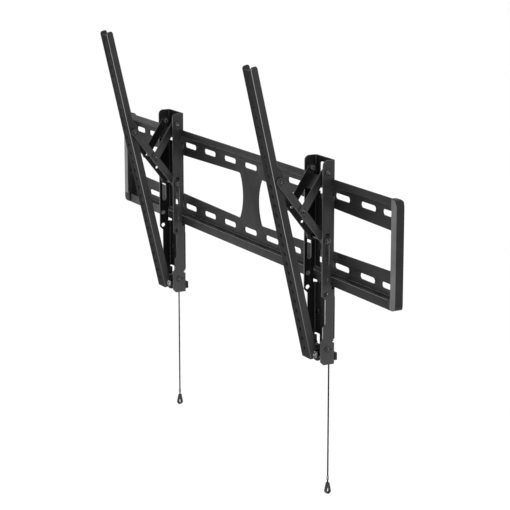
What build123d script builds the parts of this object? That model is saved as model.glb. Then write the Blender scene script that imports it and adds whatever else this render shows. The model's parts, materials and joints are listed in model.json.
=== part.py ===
from build123d import *
from math import asin, atan2, cos, hypot, sin
import os

os.makedirs("parts", exist_ok=True)

# Tilting wall bracket for a flat television, in millimetres.
# Frame: X along the wall plate, Y into the wall, Z up, origin on the wall at the plate's centre.
# "Depth" below means distance out from the wall, so a depth of d lies at Y = -d.

# Wall plate
PLATE_LENGTH = 846.0
PLATE_HEIGHT = 152.0
PLATE_SHEET = 2.0
LIP_STEP = 12.0
UPPER_LIP_HEIGHT = 11.4
LOWER_LIP_HEIGHT = 13.4
PLATE_BEND = 1.5
SLOT_ROW_SPACING = 100.0
SLOT_PITCH = 203.2 / 3
SLOT_LENGTH = 39.4
SLOT_WIDTH = 8.6
END_SLOT_LENGTH = 31.4
END_SLOT_INSET = 32.0
WINDOW_HEIGHT_CENTRE = 70.6
WINDOW_HEIGHT_END = 55.0
WEB_WAIST = 48.4
WEB_FLARE = 10.0
WINDOW_CORNER = 5.0

# End caps
CAP_WALL = 1.2
CAP_END_WALL = 8.8
CAP_DEPTH_ON_RAILS = 4.7
CAP_LIP_COVER = 5.5
CAP_CORNER = 9.5
CAP_SHORT = 0.5
CAP_BACK_BEVEL = 3.7
CAP_INNER_CURVE = 5.0
CAP_EDGE = 1.2
CAP_CORE_WALL = 2.2
CAP_FIT = 0.15

# Arm channels
ARM_SPACING = 475.4
CHANNEL_WIDTH = 52.6
CHANNEL_SHEET = 2.0
CHANNEL_BEND = 1.5
CHANNEL_BACK = 9.3
CHANNEL_DEPTH = 20.0
CHANNEL_RISE = 27.0
CHANNEL_TOP_CORNER = 7.5
SHOULDER_DROP = 14.0
SHOULDER_CUT = 5.4
LOWER_DEPTH = 14.6
KNEE_DROP = 55.0
KNEE_DEPTH = 18.3
KNEE_CUT = 4.0
FOOT_TOP_DROP = 79.0
FOOT_HEIGHT = 35.0
FOOT_BACK = 7.4
FOOT_DEPTH = 23.6
FOOT_CORNER = 4.8
FOOT_WEB_HEIGHT = 16.6
FOOT_GAP = 4.6
FOOT_NOTCH = 3.2
TONGUE_WIDTH = 21.0
TONGUE_LAP = 5.0
WINDOW_WIDTH = 29.0
UPPER_WINDOW_DROP = 7.5
UPPER_WINDOW_HEIGHT = 52.5
LOWER_WINDOW_HEIGHT = 46.0
LOCK_HOLE = 3.0
LOCK_HOLE_DEPTH = 14.6
LOCK_HOLE_SINK = 1.2
FLANGE_HOLE = 6.6
FLANGE_HOLE_DEPTH = 23.6
FLANGE_HOLE_DROP = 11.3
FLANGE_HOLE_SPACING = 20.6

# Hook and lip clearances
HANG_GAP = 0.05
LIP_SIDE_GAP = 0.4
HOOK_LENGTH = 7.4
LIFT_ROOM = 12.0
LOWER_NOTCH_ROOM = 5.0

# Tilt linkage
PIVOT_DEPTH = 20.7
PIVOT_BELOW_FOOT_TOP = 12.5
TOP_PIN_DEPTH = 21.5
TOP_PIN_DROP = 17.0
SHORT_LINK = 63.3
LONG_LINK = 112.0
LONG_LINK_MIDDLE = 56.0
LINK_REACH = 69.5
LINK_SHEET = 2.0
LONG_LINK_WIDTH = 33.0
LINK_SIDE_GAP = 0.7
SHORT_LINK_FACE = 12.0
LONG_LINK_FACE = 11.0
LONG_LINK_WEB_INSET = 13.0
SHORT_LINK_WEB_INSET = 6.3
SHORT_LINK_WEB = 22.0
LONG_LINK_WEB = 70.0
LINK_EDGE = 0.8
LONG_LINK_HOLE = 4.2
SLIDE_SPARE_ABOVE = 8.0
SLIDE_SPARE_BELOW = 11.0

# Television rails
RAIL_WIDTH = 26.2
RAIL_DEPTH = 11.5
RAIL_SHEET = 2.0
RAIL_BEND = 0.3
RAIL_AHEAD = 21.7
RAIL_BELOW_PIVOT = 11.1
RAIL_LENGTH = 430.5
RAIL_HORN = 4.0
RAIL_HORN_CORNER = 4.0
RAIL_PIN_INSET = 8.2
RAIL_HOLE = 6.6
RAIL_HOLE_PITCH = 100.0 / 7
RAIL_HOLE_START = 15.5
EAR_RADIUS = 6.5
LOBE_AHEAD = 9.4
LOBE_DROP = 10.6
SLOT_EAR_BACK = 7.6
SLOT_EAR_LENGTH = 30.0
SLOT_EAR_SLOPE = 8.0

# Pins, spacers and fits
PIVOT_PIN = 6.0
LINK_PIN = 6.0
EYELET = 6.6
EYELET_BORE = 4.4
EYELET_RIM = 0.8
EYELET_ROOM = 0.5
RAIL_PIN = 5.0
PIN_HEAD = 8.4
PIN_DIMPLE = 3.2
PIN_DIMPLE_DEPTH = 1.0
PIVOT_HEAD = 7.6
SLIDER_HEAD = 11.0
PIN_HEAD_THICKNESS = 1.8
PIN_HEAD_DOME = 0.9
SPACER_WALL = 2.0
ROLLER_WALL = 4.0
RUN_FIT = 0.05
SIDE_FIT = 0.1
SLIDE_FIT = 0.35

# Latch with its pull cord
LATCH_SHEET = 2.0
LATCH_WIDTH = 48.0
LATCH_GAP = 0.2
LATCH_TOP_DROP = 14.0
LATCH_HEIGHT = 65.5
LATCH_TRAVEL = 12.0
LATCH_CORNER = 4.0
FINGER_WIDTH = 9.0
FINGER_SPACING = 24.0
FINGER_LIP_COVER = 9.5
TOOTH_HEIGHT = 5.0
TOOTH_ROOM = 1.0
GUIDE_SPACING = 30.0
GUIDE_DROP = 32.0
GUIDE_PIN = 5.0
GUIDE_HEAD = 9.0
GUIDE_HEAD_THICKNESS = 1.5
SPRING_OFFSET = 4.0
SPRING_TAB_WIDTH = 6.0
SPRING_TAB_THICKNESS = 2.5
SPRING_TAB_BACK = 1.2
SPRING_TAB_ROOM = 0.5
SPRING_TAB_RISE = 3.0
SPRING_ANCHOR_DROP = 22.0
SPRING_WIRE = 0.9
SPRING_COIL = 5.0
SPRING_TURNS = 36
STAPLE_WIDTH = 6.0
STAPLE_HEIGHT = 6.0
STAPLE_DEPTH = 3.2
STAPLE_RISE = 2.0
CORD = 2.0
CORD_OFFSET = 5.6
CORD_BEAD = 3.0
CORD_LENGTH = 229.5
CRIMP_LENGTH = 5.6
CRIMP_WIDTH = 3.8
CRIMP_RISE = 4.1
TAG_GRIP = 2.5
TAG_LENGTH = 17.0
TAG_WIDTH = 9.0
TAG_BAR = 2.0
TAG_THICKNESS = 5.4
TAG_NECK = 3.6
TAG_TURN_LEFT = -60.0
TAG_TURN_RIGHT = 4.0

# Wall bumpers
BUMPER_WIDTH = 8.5
BUMPER_HEIGHT = 11.0
BUMPER_THICKNESS = 4.2
BUMPER_EDGE = 1.0
BUMPER_RISE = 4.8
BUMPER_INSET = 0.8

# Heights worked out from the plate
PLATE_TOP = PLATE_HEIGHT / 2
PLATE_BOTTOM = -PLATE_HEIGHT / 2
LIP_FRONT = PLATE_SHEET + LIP_STEP
LIP_BACK = LIP_FRONT - PLATE_SHEET
UPPER_SHELF_BOTTOM = PLATE_TOP - UPPER_LIP_HEIGHT
UPPER_SHELF_TOP = UPPER_SHELF_BOTTOM + PLATE_SHEET
LOWER_SHELF_TOP = PLATE_BOTTOM + LOWER_LIP_HEIGHT
LOWER_SHELF_BOTTOM = LOWER_SHELF_TOP - PLATE_SHEET
CAP_FRONT = LIP_FRONT + CAP_FIT + CAP_WALL
SLOT_REACH = PLATE_LENGTH / 2 - END_SLOT_INSET - END_SLOT_LENGTH / 2 - SLOT_LENGTH / 2
SLOTS_EACH_SIDE = int(SLOT_REACH // SLOT_PITCH)

# Heights worked out from the arm
CHANNEL_TOP = PLATE_TOP + CHANNEL_RISE
RAIL_HOLE_COUNT = int((RAIL_LENGTH - RAIL_HOLE_START - RAIL_HORN - RAIL_HOLE) // RAIL_HOLE_PITCH) + 1
CHANNEL_FRONT = CHANNEL_BACK + CHANNEL_DEPTH
CHANNEL_INSIDE = CHANNEL_WIDTH / 2 - CHANNEL_SHEET
WEB_FRONT = CHANNEL_BACK + CHANNEL_SHEET
SHOULDER_Z = PLATE_BOTTOM - SHOULDER_DROP
LOWER_FRONT = CHANNEL_BACK + LOWER_DEPTH
KNEE_Z = PLATE_BOTTOM - KNEE_DROP
KNEE_FRONT = CHANNEL_BACK + KNEE_DEPTH
FOOT_TOP = PLATE_BOTTOM - FOOT_TOP_DROP
FOOT_BOTTOM = FOOT_TOP - FOOT_HEIGHT
FOOT_FRONT = FOOT_BACK + FOOT_DEPTH
FOOT_WEB_TOP = FOOT_BOTTOM + FOOT_WEB_HEIGHT
PIVOT_Z = FOOT_TOP - PIVOT_BELOW_FOOT_TOP
TOP_PIN_Z = CHANNEL_TOP - TOP_PIN_DROP
LATCH_BACK = CHANNEL_BACK - LATCH_GAP - LATCH_SHEET
LATCH_TOP = PLATE_BOTTOM - LATCH_TOP_DROP
LATCH_BOTTOM = LATCH_TOP - LATCH_HEIGHT
GUIDE_Z = LATCH_TOP - GUIDE_DROP
SPRING_TAB_Z = LATCH_BOTTOM + SPRING_TAB_RISE
STAPLE_Z = LATCH_BOTTOM + STAPLE_RISE
CORD_DEPTH = LATCH_BACK - STAPLE_DEPTH / 2
CORD_TOP = STAPLE_Z + STAPLE_HEIGHT
CORD_END = CORD_TOP - CORD_LENGTH
TAG_TOP = CORD_END + TAG_GRIP
CRIMP_BOTTOM = TAG_TOP + CRIMP_RISE
SPRING_ANCHOR_Z = LATCH_TOP - SPRING_ANCHOR_DROP
SPRING_DEPTH = (SPRING_TAB_BACK + LATCH_BACK) / 2

# Linkage angles, from vertical, as shown with the rail tilted fully forward and with it upright
LONG_TILTED = asin(LINK_REACH / LONG_LINK)
SHORT_TILTED = asin(LONG_LINK_MIDDLE * sin(LONG_TILTED) / SHORT_LINK)
MIDDLE_DEPTH = TOP_PIN_DEPTH + SHORT_LINK * sin(SHORT_TILTED)
MIDDLE_Z = TOP_PIN_Z - SHORT_LINK * cos(SHORT_TILTED)
SLIDER_Z = MIDDLE_Z - LONG_LINK_MIDDLE * cos(LONG_TILTED)
RAIL_PIN_DEPTH = TOP_PIN_DEPTH + LINK_REACH
RAIL_PIN_Z = SLIDER_Z + LONG_LINK * cos(LONG_TILTED)
RAIL_PIN_AHEAD = RAIL_AHEAD - RAIL_PIN_INSET
PIN_SPAN = hypot(RAIL_PIN_DEPTH - PIVOT_DEPTH, RAIL_PIN_Z - PIVOT_Z)
TILT = atan2(RAIL_PIN_DEPTH - PIVOT_DEPTH, RAIL_PIN_Z - PIVOT_Z) - asin(RAIL_PIN_AHEAD / PIN_SPAN)
LONG_UPRIGHT = asin((PIVOT_DEPTH + RAIL_PIN_AHEAD - TOP_PIN_DEPTH) / LONG_LINK)
SHORT_UPRIGHT = asin(LONG_LINK_MIDDLE * sin(LONG_UPRIGHT) / SHORT_LINK)
SLIDER_UPRIGHT_Z = (
    TOP_PIN_Z - SHORT_LINK * cos(SHORT_UPRIGHT) - LONG_LINK_MIDDLE * cos(LONG_UPRIGHT)
)


def side_plane(x):
    """Side view at x: depth out from the wall across, height up."""
    return Plane(origin=(x, 0, 0), x_dir=(0, -1, 0), z_dir=(-1, 0, 0))


def tilted_plane(x):
    """Side view of a rail at x: distance ahead of the pivot across, distance up the rail up."""
    pivot = (x, -PIVOT_DEPTH, PIVOT_Z)
    return Plane(origin=pivot, x_dir=(0, -cos(TILT), -sin(TILT)), z_dir=(-1, 0, 0))


def rail_front_plane(x):
    """Front view of a rail at x, on its front face: X across, distance up the rail up."""
    ahead = tilted_plane(x).from_local_coords((RAIL_AHEAD, 0, 0))
    return Plane(origin=ahead, x_dir=(1, 0, 0), z_dir=(0, -cos(TILT), -sin(TILT)))


def link_plane(x, depth, z, angle):
    """Side view of a link at x: along the link from its lower pivot, and away from the television."""
    along = (0, -sin(angle), cos(angle))
    return Plane(origin=(x, -depth, z), x_dir=along, z_dir=(-1, 0, 0))


def front_plane(x, depth):
    """Front view at a depth from the wall: X from the arm's middle across, height up."""
    return Plane(origin=(x, -depth, 0), x_dir=(1, 0, 0), z_dir=(0, -1, 0))


def plan_plane(x, z):
    """Plan view at a height: X from the arm's middle across, Y up."""
    return Plane(origin=(x, 0, z), x_dir=(1, 0, 0), z_dir=(0, 0, 1))


def save(builder, name):
    """Label a finished piece and write it to its own file."""
    builder.part.label = name
    export_step(builder.part, f"parts/{name}.step")


def rail_pin_in_rail(share):
    """Place of the rail pin on the rail, at a share of the travel from tilted to upright."""
    tilt = TILT * (1 - share)
    short = SHORT_TILTED + (SHORT_UPRIGHT - SHORT_TILTED) * share
    long = LONG_TILTED + (LONG_UPRIGHT - LONG_TILTED) * share
    upper = LONG_LINK - LONG_LINK_MIDDLE
    out = TOP_PIN_DEPTH + SHORT_LINK * sin(short) + upper * sin(long) - PIVOT_DEPTH
    up = TOP_PIN_Z - SHORT_LINK * cos(short) + upper * cos(long) - PIVOT_Z
    return (out * cos(tilt) - up * sin(tilt), out * sin(tilt) + up * cos(tilt))


def plate_section(plane):
    """Folded section of the wall plate, with a lip standing ahead of it above and below."""
    front_side = [
        (LIP_FRONT, PLATE_TOP),
        (LIP_FRONT, UPPER_SHELF_BOTTOM),
        (PLATE_SHEET, UPPER_SHELF_BOTTOM),
        (PLATE_SHEET, LOWER_SHELF_TOP),
        (LIP_FRONT, LOWER_SHELF_TOP),
        (LIP_FRONT, PLATE_BOTTOM),
    ]
    back_side = [
        (LIP_BACK, PLATE_BOTTOM),
        (LIP_BACK, LOWER_SHELF_BOTTOM),
        (0, LOWER_SHELF_BOTTOM),
        (0, UPPER_SHELF_TOP),
        (LIP_BACK, UPPER_SHELF_TOP),
        (LIP_BACK, PLATE_TOP),
    ]
    with BuildSketch(Plane.XY) as section:
        with BuildLine():
            Polyline(*front_side, *back_side, close=True)
        make_face()
        corners = section.vertices()
        inner = [(PLATE_SHEET, UPPER_SHELF_BOTTOM), (PLATE_SHEET, LOWER_SHELF_TOP)]
        inner += [(LIP_BACK, LOWER_SHELF_BOTTOM), (LIP_BACK, UPPER_SHELF_TOP)]
        outer = [(LIP_FRONT, UPPER_SHELF_BOTTOM), (LIP_FRONT, LOWER_SHELF_TOP)]
        outer += [(0, LOWER_SHELF_BOTTOM), (0, UPPER_SHELF_TOP)]
        fillet([corners.sort_by_distance((*point, 0))[0] for point in inner], PLATE_BEND)
        corners = section.vertices()
        fillet([corners.sort_by_distance((*point, 0))[0] for point in outer], PLATE_BEND + PLATE_SHEET)
    return plane * section.sketch


def window_outline(plane):
    """Right-hand window between the two slotted rails, running out past the plate's end."""
    waist = WEB_WAIST / 2
    flare = waist + WEB_FLARE
    end = PLATE_LENGTH / 2
    centre = WINDOW_HEIGHT_CENTRE / 2
    far = WINDOW_HEIGHT_END / 2
    with BuildSketch(Plane.XY) as window:
        with BuildLine():
            Line((flare, centre), (end, far))
            Line((end, far), (end, -far))
            Line((end, -far), (flare, -centre))
            ThreePointArc((flare, -centre), (waist, 0), (flare, centre))
        make_face()
        fillet(window.vertices().group_by(Axis.X)[0], WINDOW_CORNER)
    return plane * window.sketch


# Wall plate: one folded sheet with two rows of slots and a window each side of a waisted web
with BuildPart() as wall_plate:
    extrude(plate_section(side_plane(0)), amount=PLATE_LENGTH / 2, both=True)
    face_plane = front_plane(0, 0)
    right_window = window_outline(face_plane)
    extrude(right_window, amount=PLATE_SHEET, mode=Mode.SUBTRACT)
    extrude(mirror(right_window, about=Plane.YZ, mode=Mode.PRIVATE), amount=PLATE_SHEET, mode=Mode.SUBTRACT)
    with BuildSketch(face_plane) as slots:
        with GridLocations(SLOT_PITCH, SLOT_ROW_SPACING, 2 * SLOTS_EACH_SIDE + 1, 2):
            SlotOverall(SLOT_LENGTH, SLOT_WIDTH)
        with GridLocations(PLATE_LENGTH - 2 * END_SLOT_INSET, SLOT_ROW_SPACING, 2, 2):
            SlotOverall(END_SLOT_LENGTH, SLOT_WIDTH)
    extrude(amount=PLATE_SHEET, mode=Mode.SUBTRACT)
save(wall_plate, "wall_plate")


def end_cap(name, hand):
    """Moulded cap that joins the ends of the two rails at one end of the plate."""
    outer = PLATE_LENGTH / 2 + CAP_FIT + CAP_END_WALL
    inner = PLATE_LENGTH / 2 - CAP_DEPTH_ON_RAILS
    cover = inner - CAP_LIP_COVER
    half = PLATE_HEIGHT / 2 - CAP_SHORT
    upper_cover = UPPER_LIP_HEIGHT - CAP_SHORT
    lower_cover = LOWER_LIP_HEIGHT - CAP_SHORT
    with BuildSketch(Plane.XY) as front_view:
        with Locations(((cover + outer) / 2, 0)):
            Rectangle(outer - cover, 2 * half)
        fillet(front_view.vertices().group_by(Axis.X)[-1], CAP_CORNER)
        with Locations(((cover + inner) / 2, (lower_cover - upper_cover) / 2)):
            Rectangle(inner - cover, 2 * half - upper_cover - lower_cover, mode=Mode.SUBTRACT)
        for corner in ((inner, half - upper_cover), (inner, lower_cover - half)):
            fillet(front_view.vertices().sort_by_distance((*corner, 0))[0], CAP_INNER_CURVE)
    with BuildSketch(Plane.XY) as plan_view:
        with BuildLine():
            Polyline(
                (cover, 0),
                (PLATE_LENGTH / 2 + CAP_FIT, 0),
                (outer, -CAP_BACK_BEVEL),
                (outer, -CAP_FRONT),
                (cover, -CAP_FRONT),
                close=True,
            )
        make_face()
        fillet(plan_view.vertices().sort_by_distance((outer, -CAP_FRONT, 0))[0], CAP_EDGE)
    with BuildSketch(Plane.XY) as pocket:
        add(plate_section(Plane.XY))
        offset(amount=CAP_FIT, kind=Kind.INTERSECTION)
        Rectangle(2 * CAP_FRONT, WINDOW_HEIGHT_END - 2 * CAP_FIT, mode=Mode.SUBTRACT)
    with BuildPart() as cap:
        extrude(front_plane(0, 0) * front_view.sketch, amount=CAP_FRONT)
        extrude(plan_plane(0, 0) * plan_view.sketch, amount=half, both=True, mode=Mode.INTERSECT)
        pocket_depth = PLATE_LENGTH / 2 + CAP_FIT - cover
        extrude(side_plane(cover) * pocket.sketch, amount=-pocket_depth, mode=Mode.SUBTRACT)
        with BuildSketch(side_plane(inner)):
            with Locations((CAP_FRONT / 2, 0)):
                core_height = WINDOW_HEIGHT_END - 2 * CAP_CORE_WALL
                RectangleRounded(CAP_FRONT - 2 * CAP_CORE_WALL, core_height, CAP_CORE_WALL)
        extrude(amount=-CAP_DEPTH_ON_RAILS, mode=Mode.SUBTRACT)
        if hand < 0:
            mirror(about=Plane.YZ, mode=Mode.REPLACE)
    save(cap, name)


end_cap("left_end_cap", -1)
end_cap("right_end_cap", 1)


def channel_outline(x):
    """Side outline of the arm's flanges, from the rounded top to the foot."""
    profile = [
        (CHANNEL_BACK, CHANNEL_TOP),
        (CHANNEL_FRONT, CHANNEL_TOP),
        (CHANNEL_FRONT, SHOULDER_Z),
        (LOWER_FRONT, SHOULDER_Z - SHOULDER_CUT),
        (LOWER_FRONT, KNEE_Z),
        (KNEE_FRONT, KNEE_Z - KNEE_CUT),
        (KNEE_FRONT, FOOT_TOP + FOOT_FRONT - KNEE_FRONT),
        (FOOT_FRONT, FOOT_TOP),
        (FOOT_FRONT, FOOT_BOTTOM),
        (FOOT_BACK, FOOT_BOTTOM),
        (FOOT_BACK, FOOT_TOP - FOOT_GAP),
        (CHANNEL_BACK + FOOT_NOTCH, FOOT_TOP - FOOT_GAP / 2),
        (CHANNEL_BACK, FOOT_TOP),
    ]
    with BuildSketch(Plane.XY) as outline:
        with BuildLine():
            Polyline(*profile, close=True)
        make_face()
        corners = outline.vertices()
        fillet(corners.sort_by_distance((CHANNEL_FRONT, CHANNEL_TOP, 0))[0], CHANNEL_TOP_CORNER)
        chamfer(outline.vertices().sort_by_distance((FOOT_FRONT, FOOT_BOTTOM, 0))[0], FOOT_CORNER)
    return side_plane(x) * outline.sketch


def channel_section(plane, back, front):
    """Plan section of the arm: a web to the wall and two flanges forward."""
    with BuildSketch(Plane.XY) as section:
        with Locations((0, -(back + front) / 2)):
            Rectangle(CHANNEL_WIDTH, front - back)
        fillet(section.vertices().group_by(Axis.Y)[-1], CHANNEL_BEND + CHANNEL_SHEET)
        with BuildSketch(Plane.XY, mode=Mode.PRIVATE) as hollow:
            with Locations((0, -(back + CHANNEL_SHEET + front) / 2)):
                Rectangle(2 * CHANNEL_INSIDE, front - back - CHANNEL_SHEET)
            fillet(hollow.vertices().group_by(Axis.Y)[-1], CHANNEL_BEND)
        add(hollow.sketch, mode=Mode.SUBTRACT)
    return plane * section.sketch


def arm_channel(arm, x, hand):
    """Back channel of one arm, hooked over the upper lip and notched round the lower one."""
    hook_bottom = PLATE_TOP + HANG_GAP - HOOK_LENGTH
    notch_front = LIP_FRONT + LIP_SIDE_GAP
    hook_front = LIP_BACK - LIP_SIDE_GAP
    hang = PLATE_TOP + HANG_GAP
    notch_bottom = UPPER_SHELF_BOTTOM - LIFT_ROOM
    lower_notch_top = LOWER_SHELF_TOP + LOWER_NOTCH_ROOM
    lower_notch_bottom = PLATE_BOTTOM - LOWER_NOTCH_ROOM
    upper_window_z = CHANNEL_TOP - UPPER_WINDOW_DROP - UPPER_WINDOW_HEIGHT / 2
    lower_window_z = PLATE_BOTTOM + LOWER_WINDOW_HEIGHT / 2
    tooth_slot_bottom = PLATE_BOTTOM + FINGER_LIP_COVER - TOOTH_HEIGHT - LATCH_TRAVEL - TOOTH_ROOM
    slide_top = SLIDER_Z + LINK_PIN / 2 + SLIDE_SPARE_ABOVE
    slide_bottom = SLIDER_UPRIGHT_Z - LINK_PIN / 2 - SLIDE_SPARE_BELOW
    tongue_bottom = FOOT_WEB_TOP - TONGUE_LAP
    with BuildPart() as channel:
        upper_section = channel_section(plan_plane(x, FOOT_TOP), CHANNEL_BACK, FOOT_FRONT)
        extrude(upper_section, amount=CHANNEL_TOP - FOOT_TOP)
        foot_section = channel_section(plan_plane(x, FOOT_BOTTOM), FOOT_BACK, FOOT_FRONT)
        extrude(foot_section, amount=FOOT_HEIGHT)
        extrude(channel_outline(x), amount=CHANNEL_WIDTH, both=True, mode=Mode.INTERSECT)
        with BuildSketch(side_plane(x)):
            with BuildLine():
                Polyline(
                    (0, notch_bottom),
                    (notch_front, notch_bottom),
                    (notch_front, hang),
                    (hook_front, hang),
                    (hook_front, hook_bottom),
                    (0, hook_bottom),
                    close=True,
                )
            make_face()
            with Locations((notch_front / 2, (lower_notch_top + lower_notch_bottom) / 2)):
                Rectangle(notch_front, lower_notch_top - lower_notch_bottom)
        extrude(amount=CHANNEL_WIDTH, both=True, mode=Mode.SUBTRACT)
        with BuildSketch(front_plane(x, 0)):
            with Locations((0, upper_window_z)):
                RectangleRounded(WINDOW_WIDTH, UPPER_WINDOW_HEIGHT, WINDOW_CORNER)
            with Locations((0, lower_window_z)):
                RectangleRounded(WINDOW_WIDTH, LOWER_WINDOW_HEIGHT, WINDOW_CORNER)
            with GridLocations(FINGER_SPACING, 0, 2, 1):
                with Locations((0, (PLATE_BOTTOM + tooth_slot_bottom) / 2)):
                    Rectangle(FINGER_WIDTH + 2 * TOOTH_ROOM, PLATE_BOTTOM - tooth_slot_bottom)
            with Locations((0, (FOOT_TOP + FOOT_WEB_TOP) / 2)):
                Rectangle(2 * CHANNEL_INSIDE, FOOT_TOP - FOOT_WEB_TOP)
            with Locations((-GUIDE_SPACING / 2, GUIDE_Z), (GUIDE_SPACING / 2, GUIDE_Z)):
                Circle(GUIDE_PIN / 2 + RUN_FIT)
        extrude(amount=WEB_FRONT, mode=Mode.SUBTRACT)
        with BuildSketch(side_plane(x)):
            with Locations((TOP_PIN_DEPTH, TOP_PIN_Z)):
                Circle(LINK_PIN / 2 + RUN_FIT)
            with Locations((PIVOT_DEPTH, PIVOT_Z)):
                Circle(PIVOT_PIN / 2 + RUN_FIT)
            with Locations((TOP_PIN_DEPTH, (slide_top + slide_bottom) / 2)):
                SlotOverall(slide_top - slide_bottom, LINK_PIN + 2 * SLIDE_FIT, rotation=90)
            lower_hole_z = PLATE_BOTTOM - FLANGE_HOLE_DROP
            for hole_z in (lower_hole_z, lower_hole_z + FLANGE_HOLE_SPACING):
                with Locations((FLANGE_HOLE_DEPTH, hole_z)):
                    Circle(FLANGE_HOLE / 2)
        extrude(amount=CHANNEL_WIDTH, both=True, mode=Mode.SUBTRACT)
        for side in (-1, 1):
            with BuildSketch(side_plane(x + side * CHANNEL_WIDTH / 2)):
                with Locations((LOCK_HOLE_DEPTH, PIVOT_Z)):
                    Circle(LOCK_HOLE / 2)
            extrude(amount=side * LOCK_HOLE_SINK, mode=Mode.SUBTRACT)
        with BuildSketch(front_plane(x, CHANNEL_BACK)):
            with Locations((0, (FOOT_TOP + tongue_bottom) / 2)):
                Rectangle(TONGUE_WIDTH, FOOT_TOP - tongue_bottom)
        extrude(amount=CHANNEL_SHEET)
        with BuildSketch(front_plane(x, SPRING_TAB_BACK)):
            with Locations((-hand * SPRING_OFFSET, SPRING_ANCHOR_Z)):
                Rectangle(SPRING_TAB_WIDTH, SPRING_TAB_THICKNESS)
        extrude(amount=WEB_FRONT - SPRING_TAB_BACK)
    save(channel, f"{arm}_channel")


def tv_rail(arm, x):
    """Front rail that the television bolts to, with pivot ears below and a cam slot for the link."""
    top = RAIL_LENGTH - RAIL_BELOW_PIVOT
    back = RAIL_AHEAD - RAIL_DEPTH
    start, halfway, finish = [rail_pin_in_rail(share) for share in (0, 0.5, 1)]
    slot_middle = (start[1] + finish[1]) / 2
    ear_end = SLOT_EAR_LENGTH / 2
    ear_back = start[0] - SLOT_EAR_BACK
    with BuildSketch(Plane.XY) as outline:
        with Locations(((RAIL_AHEAD + back) / 2, (top - RAIL_BELOW_PIVOT) / 2)):
            Rectangle(RAIL_DEPTH, RAIL_LENGTH)
        fillet(outline.vertices().group_by(Axis.Y)[-1], RAIL_HORN_CORNER)
        with BuildSketch(Plane.XY, mode=Mode.PRIVATE) as ear:
            with BuildLine():
                CenterArc((0, 0), EAR_RADIUS, 0, 360)
                CenterArc((LOBE_AHEAD, -LOBE_DROP), EAR_RADIUS, 0, 360)
            make_hull()
        add(ear.sketch)
        with BuildLine():
            Polyline(
                (back, slot_middle - ear_end - SLOT_EAR_SLOPE),
                (ear_back, slot_middle - ear_end),
                (ear_back, slot_middle + ear_end),
                (back, slot_middle + ear_end + SLOT_EAR_SLOPE),
                (RAIL_AHEAD, slot_middle),
                close=True,
            )
        make_face()
    with BuildSketch(Plane.XY) as hollow:
        reach = RAIL_AHEAD + EAR_RADIUS
        with Locations((RAIL_AHEAD - RAIL_SHEET - reach, (top - RAIL_BELOW_PIVOT) / 2)):
            Rectangle(2 * reach, 2 * RAIL_LENGTH)
        with Locations((RAIL_AHEAD, top)):
            Rectangle(2 * RAIL_DEPTH, 2 * RAIL_HORN)
    with BuildSketch(Plane.XY) as cam_slot:
        SlotArc(ThreePointArc(start, halfway, finish).edge(), RAIL_PIN + 2 * SLIDE_FIT)
        Circle(PIVOT_PIN / 2 + RUN_FIT)
    side = tilted_plane(x)
    with BuildPart() as rail:
        extrude(side * outline.sketch, amount=RAIL_WIDTH / 2, both=True)
        along = Axis(rail_front_plane(x).origin, rail_front_plane(x).z_dir)
        front_face = rail.faces().filter_by(along).sort_by(along)[-1]
        fillet(front_face.edges().sort_by(SortBy.LENGTH)[-2:], RAIL_BEND + RAIL_SHEET)
        extrude(side * hollow.sketch, amount=RAIL_WIDTH / 2 - RAIL_SHEET, both=True, mode=Mode.SUBTRACT)
        extrude(side * cam_slot.sketch, amount=RAIL_WIDTH, both=True, mode=Mode.SUBTRACT)
        with BuildSketch(rail_front_plane(x)):
            first = RAIL_HOLE_START - RAIL_BELOW_PIVOT
            with Locations(*[(0, first + RAIL_HOLE_PITCH * step) for step in range(RAIL_HOLE_COUNT)]):
                Circle(RAIL_HOLE / 2)
        extrude(amount=-RAIL_SHEET, mode=Mode.SUBTRACT)
    save(rail, f"{arm}_tv_rail")


def link(name, plane, length, face, half_width, web, holes, reliefs):
    """Folded link: two side plates with a web on the wall's side, relieved beside any eyelets."""
    with BuildPart() as piece:
        with BuildSketch(plane):
            with Locations((length / 2, 0)):
                SlotCenterToCenter(length, face)
        extrude(amount=half_width, both=True)
        with BuildSketch(plane):
            with Locations((length / 2, 0)):
                Rectangle(length + 2 * face, 2 * face)
            with Locations(((web[0] + web[1]) / 2, (face - LINK_SHEET) / 2)):
                Rectangle(web[1] - web[0], LINK_SHEET, mode=Mode.SUBTRACT)
        extrude(amount=half_width - LINK_SHEET, both=True, mode=Mode.SUBTRACT)
        with BuildSketch(plane):
            for along, diameter in holes:
                with Locations((along, 0)):
                    Circle(diameter / 2 + RUN_FIT)
        extrude(amount=half_width, both=True, mode=Mode.SUBTRACT)
        for hand in (-1, 1):
            for along in reliefs:
                with BuildSketch(plane.offset(hand * (half_width - LINK_SHEET))):
                    with Locations((along, (face - LINK_SHEET) / 2)):
                        Rectangle(PIN_HEAD + 2 * EYELET_ROOM, LINK_SHEET)
                extrude(amount=-hand * (EYELET_RIM + EYELET_ROOM), mode=Mode.SUBTRACT)
        chamfer(piece.faces().filter_by(Axis.X).sort_by(Axis.X)[-1].outer_wire().edges(), LINK_EDGE / 2)
        chamfer(piece.faces().filter_by(Axis.X).sort_by(Axis.X)[0].outer_wire().edges(), LINK_EDGE / 2)
    save(piece, name)


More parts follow.
